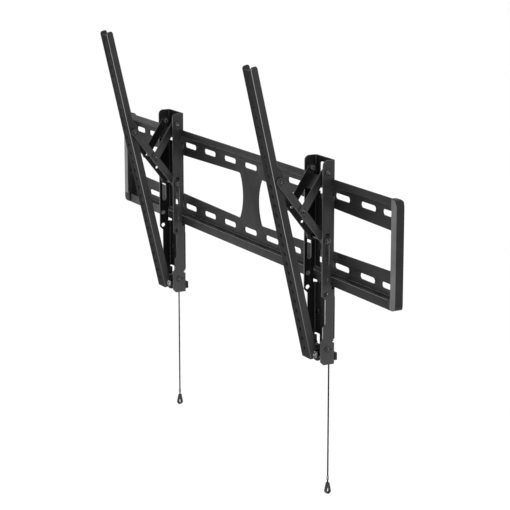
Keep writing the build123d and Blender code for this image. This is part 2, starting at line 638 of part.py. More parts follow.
def links(arm, x):
    """Short and long links of one arm's tilt linkage."""
    long_half = LONG_LINK_WIDTH / 2
    short_half = long_half + LINK_SIDE_GAP + LINK_SHEET
    long_web = (LONG_LINK_WEB_INSET, LONG_LINK_WEB_INSET + LONG_LINK_WEB)
    long_holes = [(0, LINK_PIN), (LONG_LINK_MIDDLE, EYELET), (LONG_LINK, RAIL_PIN)]
    long_holes += [(LONG_LINK_MIDDLE / 2, LONG_LINK_HOLE)]
    long_plane = link_plane(x, TOP_PIN_DEPTH, SLIDER_Z, LONG_TILTED)
    long_size = (LONG_LINK, LONG_LINK_FACE, long_half, long_web)
    link(f"{arm}_long_link", long_plane, *long_size, long_holes, [LONG_LINK_MIDDLE])
    short_web_end = SHORT_LINK - SHORT_LINK_WEB_INSET
    short_web = (short_web_end - SHORT_LINK_WEB, short_web_end)
    short_holes = [(0, EYELET), (SHORT_LINK, LINK_PIN)]
    short_plane = link_plane(x, MIDDLE_DEPTH, MIDDLE_Z, -SHORT_TILTED)
    short_size = (SHORT_LINK, SHORT_LINK_FACE, short_half, short_web)
    link(f"{arm}_short_link", short_plane, *short_size, short_holes, [])


def headed_pin(name, x, depth, z, diameter, head, left, right):
    """Riveted pin with a domed head at each end, between two offsets from the arm's middle."""
    left_end = x + left - SIDE_FIT / 2
    right_end = x + right + SIDE_FIT / 2
    with BuildPart() as pin:
        for end, outward in ((left_end, 1), (right_end, -1)):
            with BuildSketch(side_plane(end)):
                with Locations((depth, z)):
                    Circle(head / 2)
            extrude(amount=outward * PIN_HEAD_THICKNESS)
        ends = pin.faces().filter_by(Axis.X).sort_by(Axis.X)
        fillet(ends[0].edges() + ends[-1].edges(), PIN_HEAD_DOME)
        for end, outward in ((left_end, 1), (right_end, -1)):
            with BuildSketch(side_plane(end - outward * PIN_HEAD_THICKNESS)):
                with Locations((depth, z)):
                    Circle(PIN_DIMPLE / 2)
            extrude(amount=-outward * PIN_DIMPLE_DEPTH, mode=Mode.SUBTRACT)
        with BuildSketch(side_plane(right_end)):
            with Locations((depth, z)):
                Circle(diameter / 2)
        extrude(amount=right_end - left_end)
    save(pin, name)


def eyelet(name, x, depth, z, left, right):
    """Hollow rivet with a thin rim at each end, between two offsets from the arm's middle."""
    left_end = x + left - SIDE_FIT / 2
    right_end = x + right + SIDE_FIT / 2
    with BuildPart() as rivet:
        for end, outward in ((left_end, 1), (right_end, -1)):
            with BuildSketch(side_plane(end)):
                with Locations((depth, z)):
                    Circle(PIN_HEAD / 2)
            extrude(amount=outward * EYELET_RIM)
        ends = rivet.faces().filter_by(Axis.X).sort_by(Axis.X)
        fillet(ends[0].edges() + ends[-1].edges(), EYELET_RIM / 2)
        with BuildSketch(side_plane(right_end)):
            with Locations((depth, z)):
                Circle(EYELET / 2)
        extrude(amount=right_end - left_end)
        with BuildSketch(side_plane(x)):
            with Locations((depth, z)):
                Circle(EYELET_BORE / 2)
        extrude(amount=CHANNEL_WIDTH, both=True, mode=Mode.SUBTRACT)
    save(rivet, name)


def spacer(name, x, depth, z, bore, wall, inner, outer):
    """Plain tube on a pin, between two offsets from the arm's middle."""
    with BuildPart() as tube:
        with BuildSketch(side_plane(x + max(inner, outer) - SIDE_FIT)):
            with Locations((depth, z)):
                Circle(bore / 2 + RUN_FIT + wall)
                Circle(bore / 2 + RUN_FIT, mode=Mode.SUBTRACT)
        extrude(amount=abs(outer - inner) - 2 * SIDE_FIT)
    save(tube, name)


def pins_and_spacers(arm, x):
    """Pins and eyelets of one arm, with the tubes that keep the links central."""
    long_half = LONG_LINK_WIDTH / 2
    long_inside = long_half - LINK_SHEET
    short_half = long_half + LINK_SIDE_GAP + LINK_SHEET
    short_inside = short_half - LINK_SHEET
    rail_half = RAIL_WIDTH / 2
    channel_half = CHANNEL_WIDTH / 2
    channel_ends = (-channel_half, channel_half)
    slider = (TOP_PIN_DEPTH, SLIDER_Z)
    pivot = (PIVOT_DEPTH, PIVOT_Z)
    rail_pin = (RAIL_PIN_DEPTH, RAIL_PIN_Z)
    headed_pin(f"{arm}_slider_pin", x, *slider, LINK_PIN, SLIDER_HEAD, *channel_ends)
    headed_pin(f"{arm}_rail_pin", x, *rail_pin, RAIL_PIN, PIN_HEAD, -long_half, long_half)
    headed_pin(f"{arm}_pivot_pin", x, *pivot, PIVOT_PIN, PIVOT_HEAD, *channel_ends)
    for side, hand in (("left", -1), ("right", 1)):
        top_ends = sorted((hand * short_inside, hand * channel_half))
        eyelet_ends = sorted((hand * long_inside, hand * short_half))
        headed_pin(f"{arm}_top_pin_{side}", x, TOP_PIN_DEPTH, TOP_PIN_Z, LINK_PIN, PIN_HEAD, *top_ends)
        eyelet(f"{arm}_middle_eyelet_{side}", x, MIDDLE_DEPTH, MIDDLE_Z, *eyelet_ends)
        top_tube = (TOP_PIN_DEPTH, TOP_PIN_Z, LINK_PIN, SPACER_WALL, hand * short_half)
        slider_tube = (*slider, LINK_PIN, ROLLER_WALL, hand * long_half)
        pivot_tube = (*pivot, PIVOT_PIN, SPACER_WALL, hand * rail_half)
        washer = (*rail_pin, RAIL_PIN, SPACER_WALL, hand * rail_half)
        spacer(f"{arm}_top_spacer_{side}", x, *top_tube, hand * CHANNEL_INSIDE)
        spacer(f"{arm}_slider_roller_{side}", x, *slider_tube, hand * CHANNEL_INSIDE)
        spacer(f"{arm}_pivot_spacer_{side}", x, *pivot_tube, hand * CHANNEL_INSIDE)
        spacer(f"{arm}_rail_washer_{side}", x, *washer, hand * long_inside)


def latch_plate(arm, x, hand):
    """Sliding latch behind the channel, with two toothed fingers that rise behind the lower lip."""
    finger_top = PLATE_BOTTOM + FINGER_LIP_COVER
    finger_height = finger_top - LATCH_TOP + LATCH_CORNER
    tooth_front = LIP_BACK - LIP_SIDE_GAP
    lug_slot_bottom = SPRING_ANCHOR_Z - SPRING_TAB_THICKNESS / 2 - SPRING_TAB_ROOM
    lug_slot_height = SPRING_TAB_THICKNESS + LATCH_TRAVEL + 2 * SPRING_TAB_ROOM
    guides = [(-GUIDE_SPACING / 2, GUIDE_Z), (GUIDE_SPACING / 2, GUIDE_Z)]
    fingers = [-FINGER_SPACING / 2, FINGER_SPACING / 2]
    with BuildPart() as latch:
        with BuildSketch(front_plane(x, LATCH_BACK)):
            with Locations((0, (LATCH_TOP + LATCH_BOTTOM) / 2)):
                RectangleRounded(LATCH_WIDTH, LATCH_HEIGHT, LATCH_CORNER)
            with Locations(*[(across, finger_top - finger_height / 2) for across in fingers]):
                Rectangle(FINGER_WIDTH, finger_height)
            with Locations(*[(across, z + LATCH_TRAVEL / 2) for across, z in guides]):
                SlotCenterToCenter(LATCH_TRAVEL, GUIDE_PIN + 2 * SLIDE_FIT, rotation=90, mode=Mode.SUBTRACT)
            with Locations((-hand * SPRING_OFFSET, lug_slot_bottom + lug_slot_height / 2)):
                lug_slot_width = SPRING_TAB_WIDTH + 2 * SPRING_TAB_ROOM
                Rectangle(lug_slot_width, lug_slot_height, mode=Mode.SUBTRACT)
        extrude(amount=LATCH_SHEET)
        with BuildSketch(front_plane(x, LATCH_BACK)):
            with Locations(*[(across, finger_top - TOOTH_HEIGHT / 2) for across in fingers]):
                Rectangle(FINGER_WIDTH, TOOTH_HEIGHT)
        extrude(amount=tooth_front - LATCH_BACK)
        with BuildSketch(front_plane(x, SPRING_TAB_BACK)):
            with Locations((-hand * SPRING_OFFSET, SPRING_TAB_Z + SPRING_TAB_THICKNESS / 2)):
                Rectangle(SPRING_TAB_WIDTH, SPRING_TAB_THICKNESS)
        extrude(amount=LATCH_BACK - SPRING_TAB_BACK)
        with BuildSketch(plan_plane(x, STAPLE_Z)):
            with Locations((hand * CORD_OFFSET, -CORD_DEPTH)):
                Rectangle(STAPLE_WIDTH, STAPLE_DEPTH)
                Circle(CORD / 2 + RUN_FIT, mode=Mode.SUBTRACT)
        extrude(amount=STAPLE_HEIGHT)
    save(latch, f"{arm}_latch_plate")


def guide_rivets(arm, x):
    """Shouldered rivets that the latch slides on."""
    for side, hand in (("left", -1), ("right", 1)):
        across = hand * GUIDE_SPACING / 2
        behind = LATCH_BACK - SIDE_FIT
        with BuildPart() as rivet:
            with BuildSketch(front_plane(x, WEB_FRONT + RUN_FIT)):
                with Locations((across, GUIDE_Z)):
                    Circle(GUIDE_HEAD / 2)
            extrude(amount=GUIDE_HEAD_THICKNESS)
            with BuildSketch(front_plane(x, behind)):
                with Locations((across, GUIDE_Z)):
                    Circle(GUIDE_HEAD / 2)
            extrude(amount=-GUIDE_HEAD_THICKNESS)
            ends = rivet.faces().filter_by(Axis.Y).sort_by(Axis.Y)
            fillet(ends[0].edges() + ends[-1].edges(), PIN_HEAD_DOME)
            with BuildSketch(front_plane(x, behind)):
                with Locations((across, GUIDE_Z)):
                    Circle(GUIDE_PIN / 2)
            extrude(amount=WEB_FRONT + RUN_FIT - behind)
        save(rivet, f"{arm}_guide_rivet_{side}")


def latch_spring(arm, x, hand):
    """Close-wound return spring between the channel's lug and the latch's tab."""
    top = SPRING_ANCHOR_Z - SPRING_TAB_THICKNESS / 2
    bottom = SPRING_TAB_Z + SPRING_TAB_THICKNESS
    foot = (x - hand * SPRING_OFFSET, -SPRING_DEPTH, bottom)
    pitch = (top - bottom) / SPRING_TURNS
    groove = (SPRING_COIL - SPRING_WIRE) / 2
    spine = Plane(origin=foot, x_dir=(1, 0, 0), z_dir=(0, -1, 0))
    with BuildPart() as spring:
        with BuildSketch(spine):
            with BuildLine():
                Line((0, 0), (groove, 0))
                for turn in range(SPRING_TURNS):
                    crest = (SPRING_COIL / 2, (turn + 0.5) * pitch)
                    Line((groove, turn * pitch), crest)
                    Line(crest, (groove, (turn + 1) * pitch))
                Line((groove, top - bottom), (0, top - bottom))
                Line((0, top - bottom), (0, 0))
            make_face()
        revolve(axis=Axis(foot, (0, 0, 1)))
    save(spring, f"{arm}_latch_spring")


def pull_cord(arm, x, tag_turn):
    """Pull cord that hangs from the latch, with its crimp and teardrop pull tag."""
    with BuildPart() as cord:
        with BuildSketch(plan_plane(x, CORD_END)):
            with Locations((0, -CORD_DEPTH)):
                Circle(CORD / 2)
        extrude(amount=CORD_LENGTH)
        with BuildSketch(plan_plane(x, CORD_TOP)):
            with Locations((0, -CORD_DEPTH)):
                Circle(CORD_BEAD / 2)
        extrude(amount=CORD_BEAD)
        fillet(cord.faces().sort_by(Axis.Z)[-1].edges(), CORD_BEAD / 2 - CORD / 4)
    save(cord, f"{arm}_cord")
    with BuildPart() as crimp:
        with BuildSketch(plan_plane(x, CRIMP_BOTTOM)):
            with Locations((0, -CORD_DEPTH)):
                Circle(CRIMP_WIDTH / 2)
        extrude(amount=CRIMP_LENGTH)
        chamfer(crimp.edges().filter_by(GeomType.CIRCLE), LINK_EDGE / 2)
        with BuildSketch(plan_plane(x, CRIMP_BOTTOM)):
            with Locations((0, -CORD_DEPTH)):
                Circle(CORD / 2)
        extrude(amount=CRIMP_LENGTH, mode=Mode.SUBTRACT)
    save(crimp, f"{arm}_cord_crimp")
    round_end = TAG_WIDTH / 2
    hung = Plane(origin=(x, -CORD_DEPTH, TAG_TOP), x_dir=(0, -1, 0), z_dir=(-1, 0, 0))
    tag_plane = hung.rotated((0, tag_turn, 0))
    with BuildPart() as tag:
        with BuildSketch(tag_plane):
            with BuildLine():
                CenterArc((0, round_end - TAG_LENGTH), round_end, 0, 360)
                Line((-TAG_NECK / 2, 0), (TAG_NECK / 2, 0))
            make_hull()
            with BuildSketch(mode=Mode.PRIVATE) as hole:
                with BuildLine():
                    CenterArc((0, round_end - TAG_LENGTH), round_end - TAG_BAR, 0, 360)
                    CenterArc((0, -1.5 * TAG_NECK), TAG_NECK / 4, 0, 360)
                make_hull()
            add(hole.sketch, mode=Mode.SUBTRACT)
        extrude(amount=TAG_THICKNESS / 2, both=True)
        across = Axis(tag_plane.origin, tag_plane.z_dir)
        chamfer(tag.faces().filter_by(across).edges(), LINK_EDGE / 2)
        with BuildSketch(plan_plane(x, CORD_END)):
            with Locations((0, -CORD_DEPTH)):
                Circle(CORD / 2)
        extrude(amount=TAG_GRIP, mode=Mode.SUBTRACT)
    save(tag, f"{arm}_pull_tag")


def wall_bumpers(arm, x):
    """Rubber pads behind the foot, one at each flange."""
    z = FOOT_BOTTOM + BUMPER_RISE + BUMPER_HEIGHT / 2
    across = CHANNEL_WIDTH / 2 - BUMPER_INSET - BUMPER_WIDTH / 2
    for side, hand in (("left", -1), ("right", 1)):
        with BuildPart() as bumper:
            with BuildSketch(front_plane(x, FOOT_BACK)):
                with Locations((hand * across, z)):
                    Rectangle(BUMPER_WIDTH, BUMPER_HEIGHT)
            extrude(amount=-BUMPER_THICKNESS)
            fillet(bumper.faces().sort_by(Axis.Y)[-1].edges(), BUMPER_EDGE)
        save(bumper, f"{arm}_bumper_{side}")


for arm, hand, tag_turn in (("left_arm", -1, TAG_TURN_LEFT), ("right_arm", 1, TAG_TURN_RIGHT)):
    x = hand * ARM_SPACING / 2
    arm_channel(arm, x, hand)
    tv_rail(arm, x)
    links(arm, x)
    pins_and_spacers(arm, x)
    latch_plate(arm, x, hand)
    guide_rivets(arm, x)
    latch_spring(arm, x, hand)
    pull_cord(arm, x + hand * CORD_OFFSET, tag_turn)
    wall_bumpers(arm, x)
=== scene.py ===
"""Looks of a tilting television wall bracket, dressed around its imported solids."""
import json
import logging
import math
from dataclasses import dataclass
from enum import Enum
from typing import Sequence

import bmesh
import bpy
from mathutils import Matrix, Vector


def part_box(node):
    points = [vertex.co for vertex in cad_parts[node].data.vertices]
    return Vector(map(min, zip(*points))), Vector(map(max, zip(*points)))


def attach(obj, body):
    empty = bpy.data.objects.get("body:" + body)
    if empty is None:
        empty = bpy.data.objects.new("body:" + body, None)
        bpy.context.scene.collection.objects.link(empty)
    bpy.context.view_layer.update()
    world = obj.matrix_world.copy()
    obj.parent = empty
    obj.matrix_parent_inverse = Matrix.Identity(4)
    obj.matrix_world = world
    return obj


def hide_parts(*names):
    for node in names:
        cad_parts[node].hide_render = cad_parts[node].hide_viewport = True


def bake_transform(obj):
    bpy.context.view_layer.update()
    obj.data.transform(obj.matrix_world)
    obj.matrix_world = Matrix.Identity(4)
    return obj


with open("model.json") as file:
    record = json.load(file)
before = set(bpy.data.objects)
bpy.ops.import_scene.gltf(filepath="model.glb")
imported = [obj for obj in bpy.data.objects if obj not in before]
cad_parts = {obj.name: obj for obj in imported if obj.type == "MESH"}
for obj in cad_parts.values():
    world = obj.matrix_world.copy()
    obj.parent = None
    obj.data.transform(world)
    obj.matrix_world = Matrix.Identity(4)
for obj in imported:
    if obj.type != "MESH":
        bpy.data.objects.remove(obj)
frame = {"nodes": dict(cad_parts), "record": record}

LOG = logging.getLogger("bracket")
MM = 0.001
Colour = tuple[float, float, float]
Point = tuple[float, float, float]

# Angle in degrees from which two faces meet in a sharp edge
SHARP_ANGLE = 28.0
# Sideways share of the normals on the crest of a bend, where a highlight is painted
CREST_FROM, CREST_TO = 0.6, 0.8
# Range that most of a noise's values lie in
NOISE_LOW, NOISE_HIGH = 0.3, 0.7
# Places of the sockets of a mix of colours
MIX_FACTOR, MIX_FIRST, MIX_SECOND, MIX_RESULT = 0, 6, 7, 2
# Index that leaves broken edges the finish of the faces beside them
FINISH_OF_FACES = -1


class Arm(Enum):
    """The two arms, with the place of each along the plate in metres."""

    LEFT = ("left", -0.2377)
    RIGHT = ("right", 0.2377)

    @property
    def side(self) -> str:
        """Word that starts the names of this arm's bodies."""
        return self.value[0]

    @property
    def x(self) -> float:
        """Place of the arm's middle along the plate."""
        return self.value[1]

    def node(self, piece: str) -> str:
        """Name of one of this arm's solids."""
        return f"{self.side}_arm_{piece}"

    def body(self, part: str = "arm") -> str:
        """Name of one of this arm's bodies."""
        return f"{self.side}_{part}"


class NodeBuilder:
    """A node tree, built step by step."""

    def __init__(self, tree: bpy.types.NodeTree) -> None:
        """Start on a tree.

        Args:
            tree: the tree.
        """
        self.nodes = tree.nodes
        self.links = tree.links

    def feed(self, socket: bpy.types.NodeSocket, value: object) -> None:
        """Set a socket, or link an output to it.

        Args:
            socket: the socket.
            value: a plain value, an output socket, or a node for its first output.
        """
        if isinstance(value, bpy.types.Node):
            value = value.outputs[0]
        if isinstance(value, bpy.types.NodeSocket):
            self.links.new(value, socket)
        else:
            socket.default_value = value

    def fill(self, node: bpy.types.Node, inputs: dict[str, object]) -> None:
        """Set or link a node's inputs.

        Args:
            node: the node.
            inputs: values, nodes or output sockets by input name, with spaces as underscores.
        """
        for key, value in inputs.items():
            name = key.replace("_", " ")
            self.feed(next(socket for socket in node.inputs if socket.name == name and socket.enabled), value)

    def add(self, kind: str, **inputs: object) -> bpy.types.Node:
        """Add a node and set or link its inputs.

        Args:
            kind: the node's type.
            inputs: values, nodes or output sockets by input name, with spaces as underscores.

        Returns:
            The new node.
        """
        node = self.nodes.new(kind)
        self.fill(node, inputs)
        return node


class Shader(NodeBuilder):
    """A material's node tree."""

    def __init__(self, name: str) -> None:
        """Start an empty material.

        Args:
            name: the finish's name.
        """
        self.material = bpy.data.materials.new(name)
        self.material.use_nodes = True
        super().__init__(self.material.node_tree)
        self.bsdf = self.nodes["Principled BSDF"]
        self.coordinates = self.nodes.new("ShaderNodeTexCoord").outputs["Object"]

    def surface(self, **inputs: object) -> None:
        """Set or link inputs of the surface."""
        self.fill(self.bsdf, inputs)

    def noise(self, scale: float, detail: float = 3.0, stretch: Point = (1, 1, 1)) -> bpy.types.NodeSocket:
        """Noise on the piece's own coordinates.

        Args:
            scale: waves for each metre.
            detail: octaves.
            stretch: scale along each axis.

        Returns:
            The noise's factor.
        """
        mapped = self.add("ShaderNodeMapping", Vector=self.coordinates, Scale=stretch)
        return self.add("ShaderNodeTexNoise", Vector=mapped, Scale=scale, Detail=detail).outputs[0]

    def span(self, factor: bpy.types.NodeSocket, low: float = 0.0, high: float = 1.0) -> bpy.types.NodeSocket:
        """Spread a middling noise over a range.

        Args:
            factor: the noise.
            low: value at the noise's usual low.
            high: value at the noise's usual high.

        Returns:
            The spread value.
        """
        node = self.add("ShaderNodeMapRange", Value=factor, From_Min=NOISE_LOW, From_Max=NOISE_HIGH,
                        To_Min=low, To_Max=high)
        return node.outputs[0]

    def rise(self, low: float, high: float) -> bpy.types.NodeSocket:
        """Factor that climbs from 0 to 1 up the piece.

        Args:
            low: height where it is 0.
            high: height where it is 1.

        Returns:
            The factor.
        """
        height = self.add("ShaderNodeSeparateXYZ", Vector=self.coordinates).outputs["Z"]
        return self.add("ShaderNodeMapRange", Value=height, From_Min=low, From_Max=high).outputs[0]

    def blend(self, factor: bpy.types.NodeSocket, first: object, second: object) -> bpy.types.NodeSocket:
        """Mix two colours.

        Args:
            factor: share of the second colour.
            first: colour at 0, or the output that gives it.
            second: colour at 1, or the output that gives it.

        Returns:
            The mixed colour.
        """
        node = self.nodes.new("ShaderNodeMix")
        node.data_type = "RGBA"
        self.feed(node.inputs[MIX_FACTOR], factor)
        for place, colour in ((MIX_FIRST, first), (MIX_SECOND, second)):
            linked = isinstance(colour, bpy.types.NodeSocket)
            self.feed(node.inputs[place], colour if linked else (*colour, 1))
        return node.outputs[MIX_RESULT]

    def bump(self, height: bpy.types.NodeSocket, distance: float, strength: float) -> None:
        """Raise the surface by a height field.

        Args:
            height: the field.
            distance: height in metres for a field of 1.
            strength: share of the effect.
        """
        self.surface(Normal=self.add("ShaderNodeBump", Height=height, Distance=distance, Strength=strength))


@dataclass(frozen=True)
class PowderCoat:
    """Satin black powder coat with a fine orange peel, a faint cloudiness, and optional painted light and
    shade that changes towards the foot.
    """

    name: str
    dark: Colour
    pale: Colour
    roughness: tuple[float, float] = (0.38, 0.5)
    gloss: float = 0.3
    low_tone: float = 1.0
    low_z: float = -0.19
    high_z: float = 0.0
    cloud_scale: float = 18.0
    cloud_detail: float = 4.0
    sheen_scale: float = 60.0
    peel_scale: float = 1400.0
    peel_detail: float = 2.0
    peel_height: float = 0.00004
    peel_strength: float = 0.6

    def material(self) -> bpy.types.Material:
        """Build the coat's material, with its painted light and shade changing towards the foot.

        Returns:
            The material.
        """
        shader = Shader(self.name)
        cloud = shader.span(shader.noise(self.cloud_scale, self.cloud_detail))
        colour = shader.blend(cloud, self.dark, self.pale)
        # Painted light and shade: the coat's colour is scaled towards the foot, standing in for how light
        # falls on the part.
        if self.low_tone != 1.0:
            dark, pale = ([part * self.low_tone for part in tone] for tone in (self.dark, self.pale))
            painted_low_colour = shader.blend(cloud, dark, pale)
            colour = shader.blend(shader.rise(self.low_z, self.high_z), painted_low_colour, colour)
        sheen = shader.span(shader.noise(self.sheen_scale), *self.roughness)
        shader.surface(Base_Color=colour, Roughness=sheen, Specular_IOR_Level=self.gloss)
        shader.bump(shader.noise(self.peel_scale, self.peel_detail), self.peel_height, self.peel_strength)
        return shader.material


@dataclass(frozen=True)
class MouldedPlastic:
    """Moulded plastic with a fine spark-eroded grain."""

    name: str
    dark: Colour
    pale: Colour
    roughness: tuple[float, float] = (0.45, 0.6)
    gloss: float = 0.35
    cloud_scale: float = 40.0
    sheen_scale: float = 300.0
    grain_scale: float = 2600.0
    grain_height: float = 0.00003
    grain_strength: float = 0.8

    def material(self) -> bpy.types.Material:
        """Build the plastic's material.

        Returns:
            The material.
        """
        shader = Shader(self.name)
        colour = shader.blend(shader.span(shader.noise(self.cloud_scale)), self.dark, self.pale)
        sheen = shader.span(shader.noise(self.sheen_scale), *self.roughness)
        shader.surface(Base_Color=colour, Roughness=sheen, Specular_IOR_Level=self.gloss)
        shader.bump(shader.noise(self.grain_scale), self.grain_height, self.grain_strength)
        return shader.material


@dataclass(frozen=True)
class TurnedSteel:
    """Turned or drawn steel with fine lines along one axis."""

    name: str
    dark: Colour
    pale: Colour
    roughness: tuple[float, float] = (0.25, 0.42)
    metal: float = 1.0
    lines: Point = (40.0, 1.0, 1.0)
    line_scale: float = 90.0
    line_detail: float = 4.0
    line_height: float = 0.00002
    line_strength: float = 0.5
    sheen_scale: float = 200.0

    def material(self) -> bpy.types.Material:
        """Build the steel's material.

        Returns:
            The material.
        """
        shader = Shader(self.name)
        streak = shader.noise(self.line_scale, self.line_detail, self.lines)
        colour = shader.blend(shader.span(streak), self.dark, self.pale)
        sheen = shader.span(shader.noise(self.sheen_scale), *self.roughness)
        shader.surface(Base_Color=colour, Roughness=sheen, Metallic=self.metal)
        shader.bump(streak, self.line_height, self.line_strength)
        return shader.material


@dataclass(frozen=True)
class TwistedYarn:
    """Dark yarn of a laid pull cord, with fibres along each strand."""

    name: str
    dark: Colour
    pale: Colour
    roughness: float = 0.8
    gloss: float = 0.2
    fibre_scale: float = 2200.0
    fibre_stretch: Point = (1.0, 1.0, 0.25)
    fibre_height: float = 0.00006
    fibre_strength: float = 0.8

    def material(self) -> bpy.types.Material:
        """Build the yarn's material.

        Returns:
            The material.
        """
        shader = Shader(self.name)
        fibre = shader.noise(self.fibre_scale, stretch=self.fibre_stretch)
        colour = shader.blend(shader.span(fibre), self.dark, self.pale)
        shader.surface(Base_Color=colour, Roughness=self.roughness, Specular_IOR_Level=self.gloss)
        shader.bump(fibre, self.fibre_height, self.fibre_strength)
        return shader.material


@dataclass(frozen=True)
class Finishes:
    """Every finish of the bracket, made once."""

    coat: bpy.types.Material
    plate_coat: bpy.types.Material
    coat_edge: bpy.types.Material
    channel_coat: bpy.types.Material
    inner_coat: bpy.types.Material
    rail_face: bpy.types.Material
    link_coat: bpy.types.Material
    crank_coat: bpy.types.Material
    link_edge: bpy.types.Material
    bend: bpy.types.Material
    cut_edge: bpy.types.Material
    bare_edge: bpy.types.Material
    cap_side: bpy.types.Material
    cap_front: bpy.types.Material
    cap_pale: bpy.types.Material
    pin: bpy.types.Material
    bright: bpy.types.Material
    zinc: bpy.types.Material
    nylon: bpy.types.Material
    rubber: bpy.types.Material
    yarn: bpy.types.Material
    tag: bpy.types.Material

    @classmethod
    def make(cls) -> "Finishes":
        """Build all the materials.

        Returns:
            The finishes.
        """
        # Painted glints: random bright specks in the colour of the pins and the zinc parts, on top of the
        # steel's own shine.
        glint_specks = {"lines": (1.0, 1.0, 1.0), "line_scale": 420.0}
        recipes = {
            "coat": PowderCoat("satin_black_coat", (0.013, 0.013, 0.0135), (0.02, 0.02, 0.0205)),
            "plate_coat": PowderCoat(
                "satin_black_plate", (0.0132, 0.0132, 0.0137), (0.0163, 0.0163, 0.0168), gloss=0.2),
            # Painted highlight: the broken edges of the sheet parts are lighter than the coat.
            "coat_edge": PowderCoat(
                "satin_black_edge", (0.03, 0.03, 0.031), (0.06, 0.06, 0.061), (0.25, 0.36), gloss=0.5),
            # Painted light: the channel's coat grows lighter towards its foot.
            "channel_coat": PowderCoat(
                "satin_black_channel", (0.013, 0.013, 0.0135), (0.02, 0.02, 0.0205), low_tone=2.3),
            # Painted shade: a darker black for the insides of the channel, the short link and the latch web,
            # where shade falls.
            "inner_coat": PowderCoat(
                "satin_black_inside", (0.006, 0.006, 0.006), (0.01, 0.01, 0.01), gloss=0.12),
            "rail_face": PowderCoat(
                "matt_black_rail_face", (0.015, 0.015, 0.0155), (0.022, 0.022, 0.0225), (0.6, 0.7),
                gloss=0.04),
            # Painted light: a lighter copy of the coat for the links' lit sides.
            "link_coat": PowderCoat(
                "satin_black_links", (0.026, 0.026, 0.027), (0.037, 0.037, 0.038), (0.32, 0.42)),
            # Painted shade: the short link is dark at its upper end inside the channel and lighter below it.
            "crank_coat": PowderCoat(
                "satin_black_short_link", (0.009, 0.009, 0.0095), (0.013, 0.013, 0.0135), (0.32, 0.42),
                low_tone=3.2, low_z=0.034, high_z=0.066),
            # Painted highlight on the links' broken edges.
            "link_edge": PowderCoat(
                "links_worn_edge", (0.05, 0.05, 0.051), (0.09, 0.09, 0.091), (0.25, 0.35), gloss=0.5),
            # Painted highlight on the bend crests, fading towards the foot.
            "bend": PowderCoat(
                "burnished_bend", (0.26, 0.26, 0.26), (0.36, 0.36, 0.355), (0.3, 0.4),
                low_tone=0.25, low_z=-0.165),
            # Painted highlight on the channel flanges' forward cut edges.
            "cut_edge": PowderCoat(
                "coated_cut_edge", (0.05, 0.05, 0.051), (0.08, 0.08, 0.081), (0.3, 0.4), gloss=0.5),
            # Painted highlight: a bright line on the right arm's lower flange edges.
            "bare_edge": PowderCoat(
                "rubbed_cut_edge", (0.4, 0.4, 0.4), (0.6, 0.6, 0.59), (0.3, 0.4), gloss=0.5),
            "cap_side": MouldedPlastic(
                "black_cap_moulding", (0.007, 0.007, 0.0075), (0.011, 0.011, 0.0115), gloss=0.25),
            "cap_front": MouldedPlastic(
                "grey_cap_front", (0.085, 0.085, 0.086), (0.115, 0.115, 0.116), (0.4, 0.52)),
            # Painted light: a paler copy of the grey front for the left cap's strip.
            "cap_pale": MouldedPlastic(
                "pale_cap_front", (0.15, 0.152, 0.154), (0.19, 0.192, 0.194), (0.4, 0.52)),
            "pin": TurnedSteel(
                "blackened_pin_steel", (0.003, 0.003, 0.003), (0.1, 0.1, 0.102), (0.15, 0.35), **glint_specks),
            "bright": TurnedSteel("bright_spring_steel", (0.42, 0.42, 0.43), (0.62, 0.62, 0.63)),
            "zinc": TurnedSteel(
                "zinc_plated_steel", (0.01, 0.01, 0.01), (0.5, 0.5, 0.49), (0.12, 0.3), **glint_specks),
            "nylon": MouldedPlastic("black_nylon", (0.012, 0.012, 0.012), (0.018, 0.018, 0.018)),
            "rubber": MouldedPlastic(
                "black_rubber", (0.01, 0.01, 0.01), (0.016, 0.016, 0.016), (0.65, 0.8), gloss=0.25),
            "yarn": TwistedYarn("black_yarn", (0.003, 0.003, 0.003), (0.01, 0.01, 0.01)),
            "tag": MouldedPlastic(
                "black_tag_moulding", (0.012, 0.012, 0.012), (0.02, 0.02, 0.02), (0.35, 0.5)),
        }
        return cls(**{use: recipe.material() for use, recipe in recipes.items()})


def dress(node: str, material: bpy.types.Material) -> bpy.types.Object:
    """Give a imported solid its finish.

    Args:
        node: the solid's name.
        material: the finish.

    Returns:
        The solid's object.
    """
    shown = frame["nodes"][node]
    for holder in shown.material_slots:
        holder.material = material
    LOG.info("dressed %s in %s", node, material.name)
    return shown


def new_piece(name: str, mesh: bpy.types.Mesh, material: bpy.types.Material) -> bpy.types.Object:
    """Put a finished mesh into the scene.

    Args:
        name: the piece's name.
        mesh: its mesh, already in place.
        material: its finish.

    Returns:
        The new object.
    """
    mesh.name = name
    mesh.materials.clear()
    mesh.materials.append(material)
    piece = bpy.data.objects.new(name, mesh)
    bpy.context.scene.collection.objects.link(piece)
    LOG.info("made %s with %d faces", name, len(mesh.polygons))
    return piece


def add_finish(piece: bpy.types.Object, material: bpy.types.Material) -> int:
    """Give a piece one more finish, and return its index for the faces."""
    piece.data.materials.append(material)
    return len(piece.data.materials) - 1


def body_of(node: str) -> str:
    """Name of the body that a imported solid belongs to."""
    bodies = frame["record"]["behaviour"]["bodies"]
    return next(body for body, nodes in bodies.items() if node in nodes)


def slot_of(node: str) -> str:
    """Name of the record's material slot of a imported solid."""
    return next(part["material_slot"] for part in frame["record"]["subparts"] if part["node"] == node)


def bake(piece: bpy.types.Object) -> None:
    """Turn a piece's modifiers into a plain mesh.

    Args:
        piece: the piece.
    """
    depsgraph = bpy.context.evaluated_depsgraph_get()
    baked = bpy.data.meshes.new_from_object(piece.evaluated_get(depsgraph))
    baked.name = piece.name
    piece.modifiers.clear()
    piece.data = baked
    LOG.info("baked %s to %d faces", piece.name, len(baked.polygons))


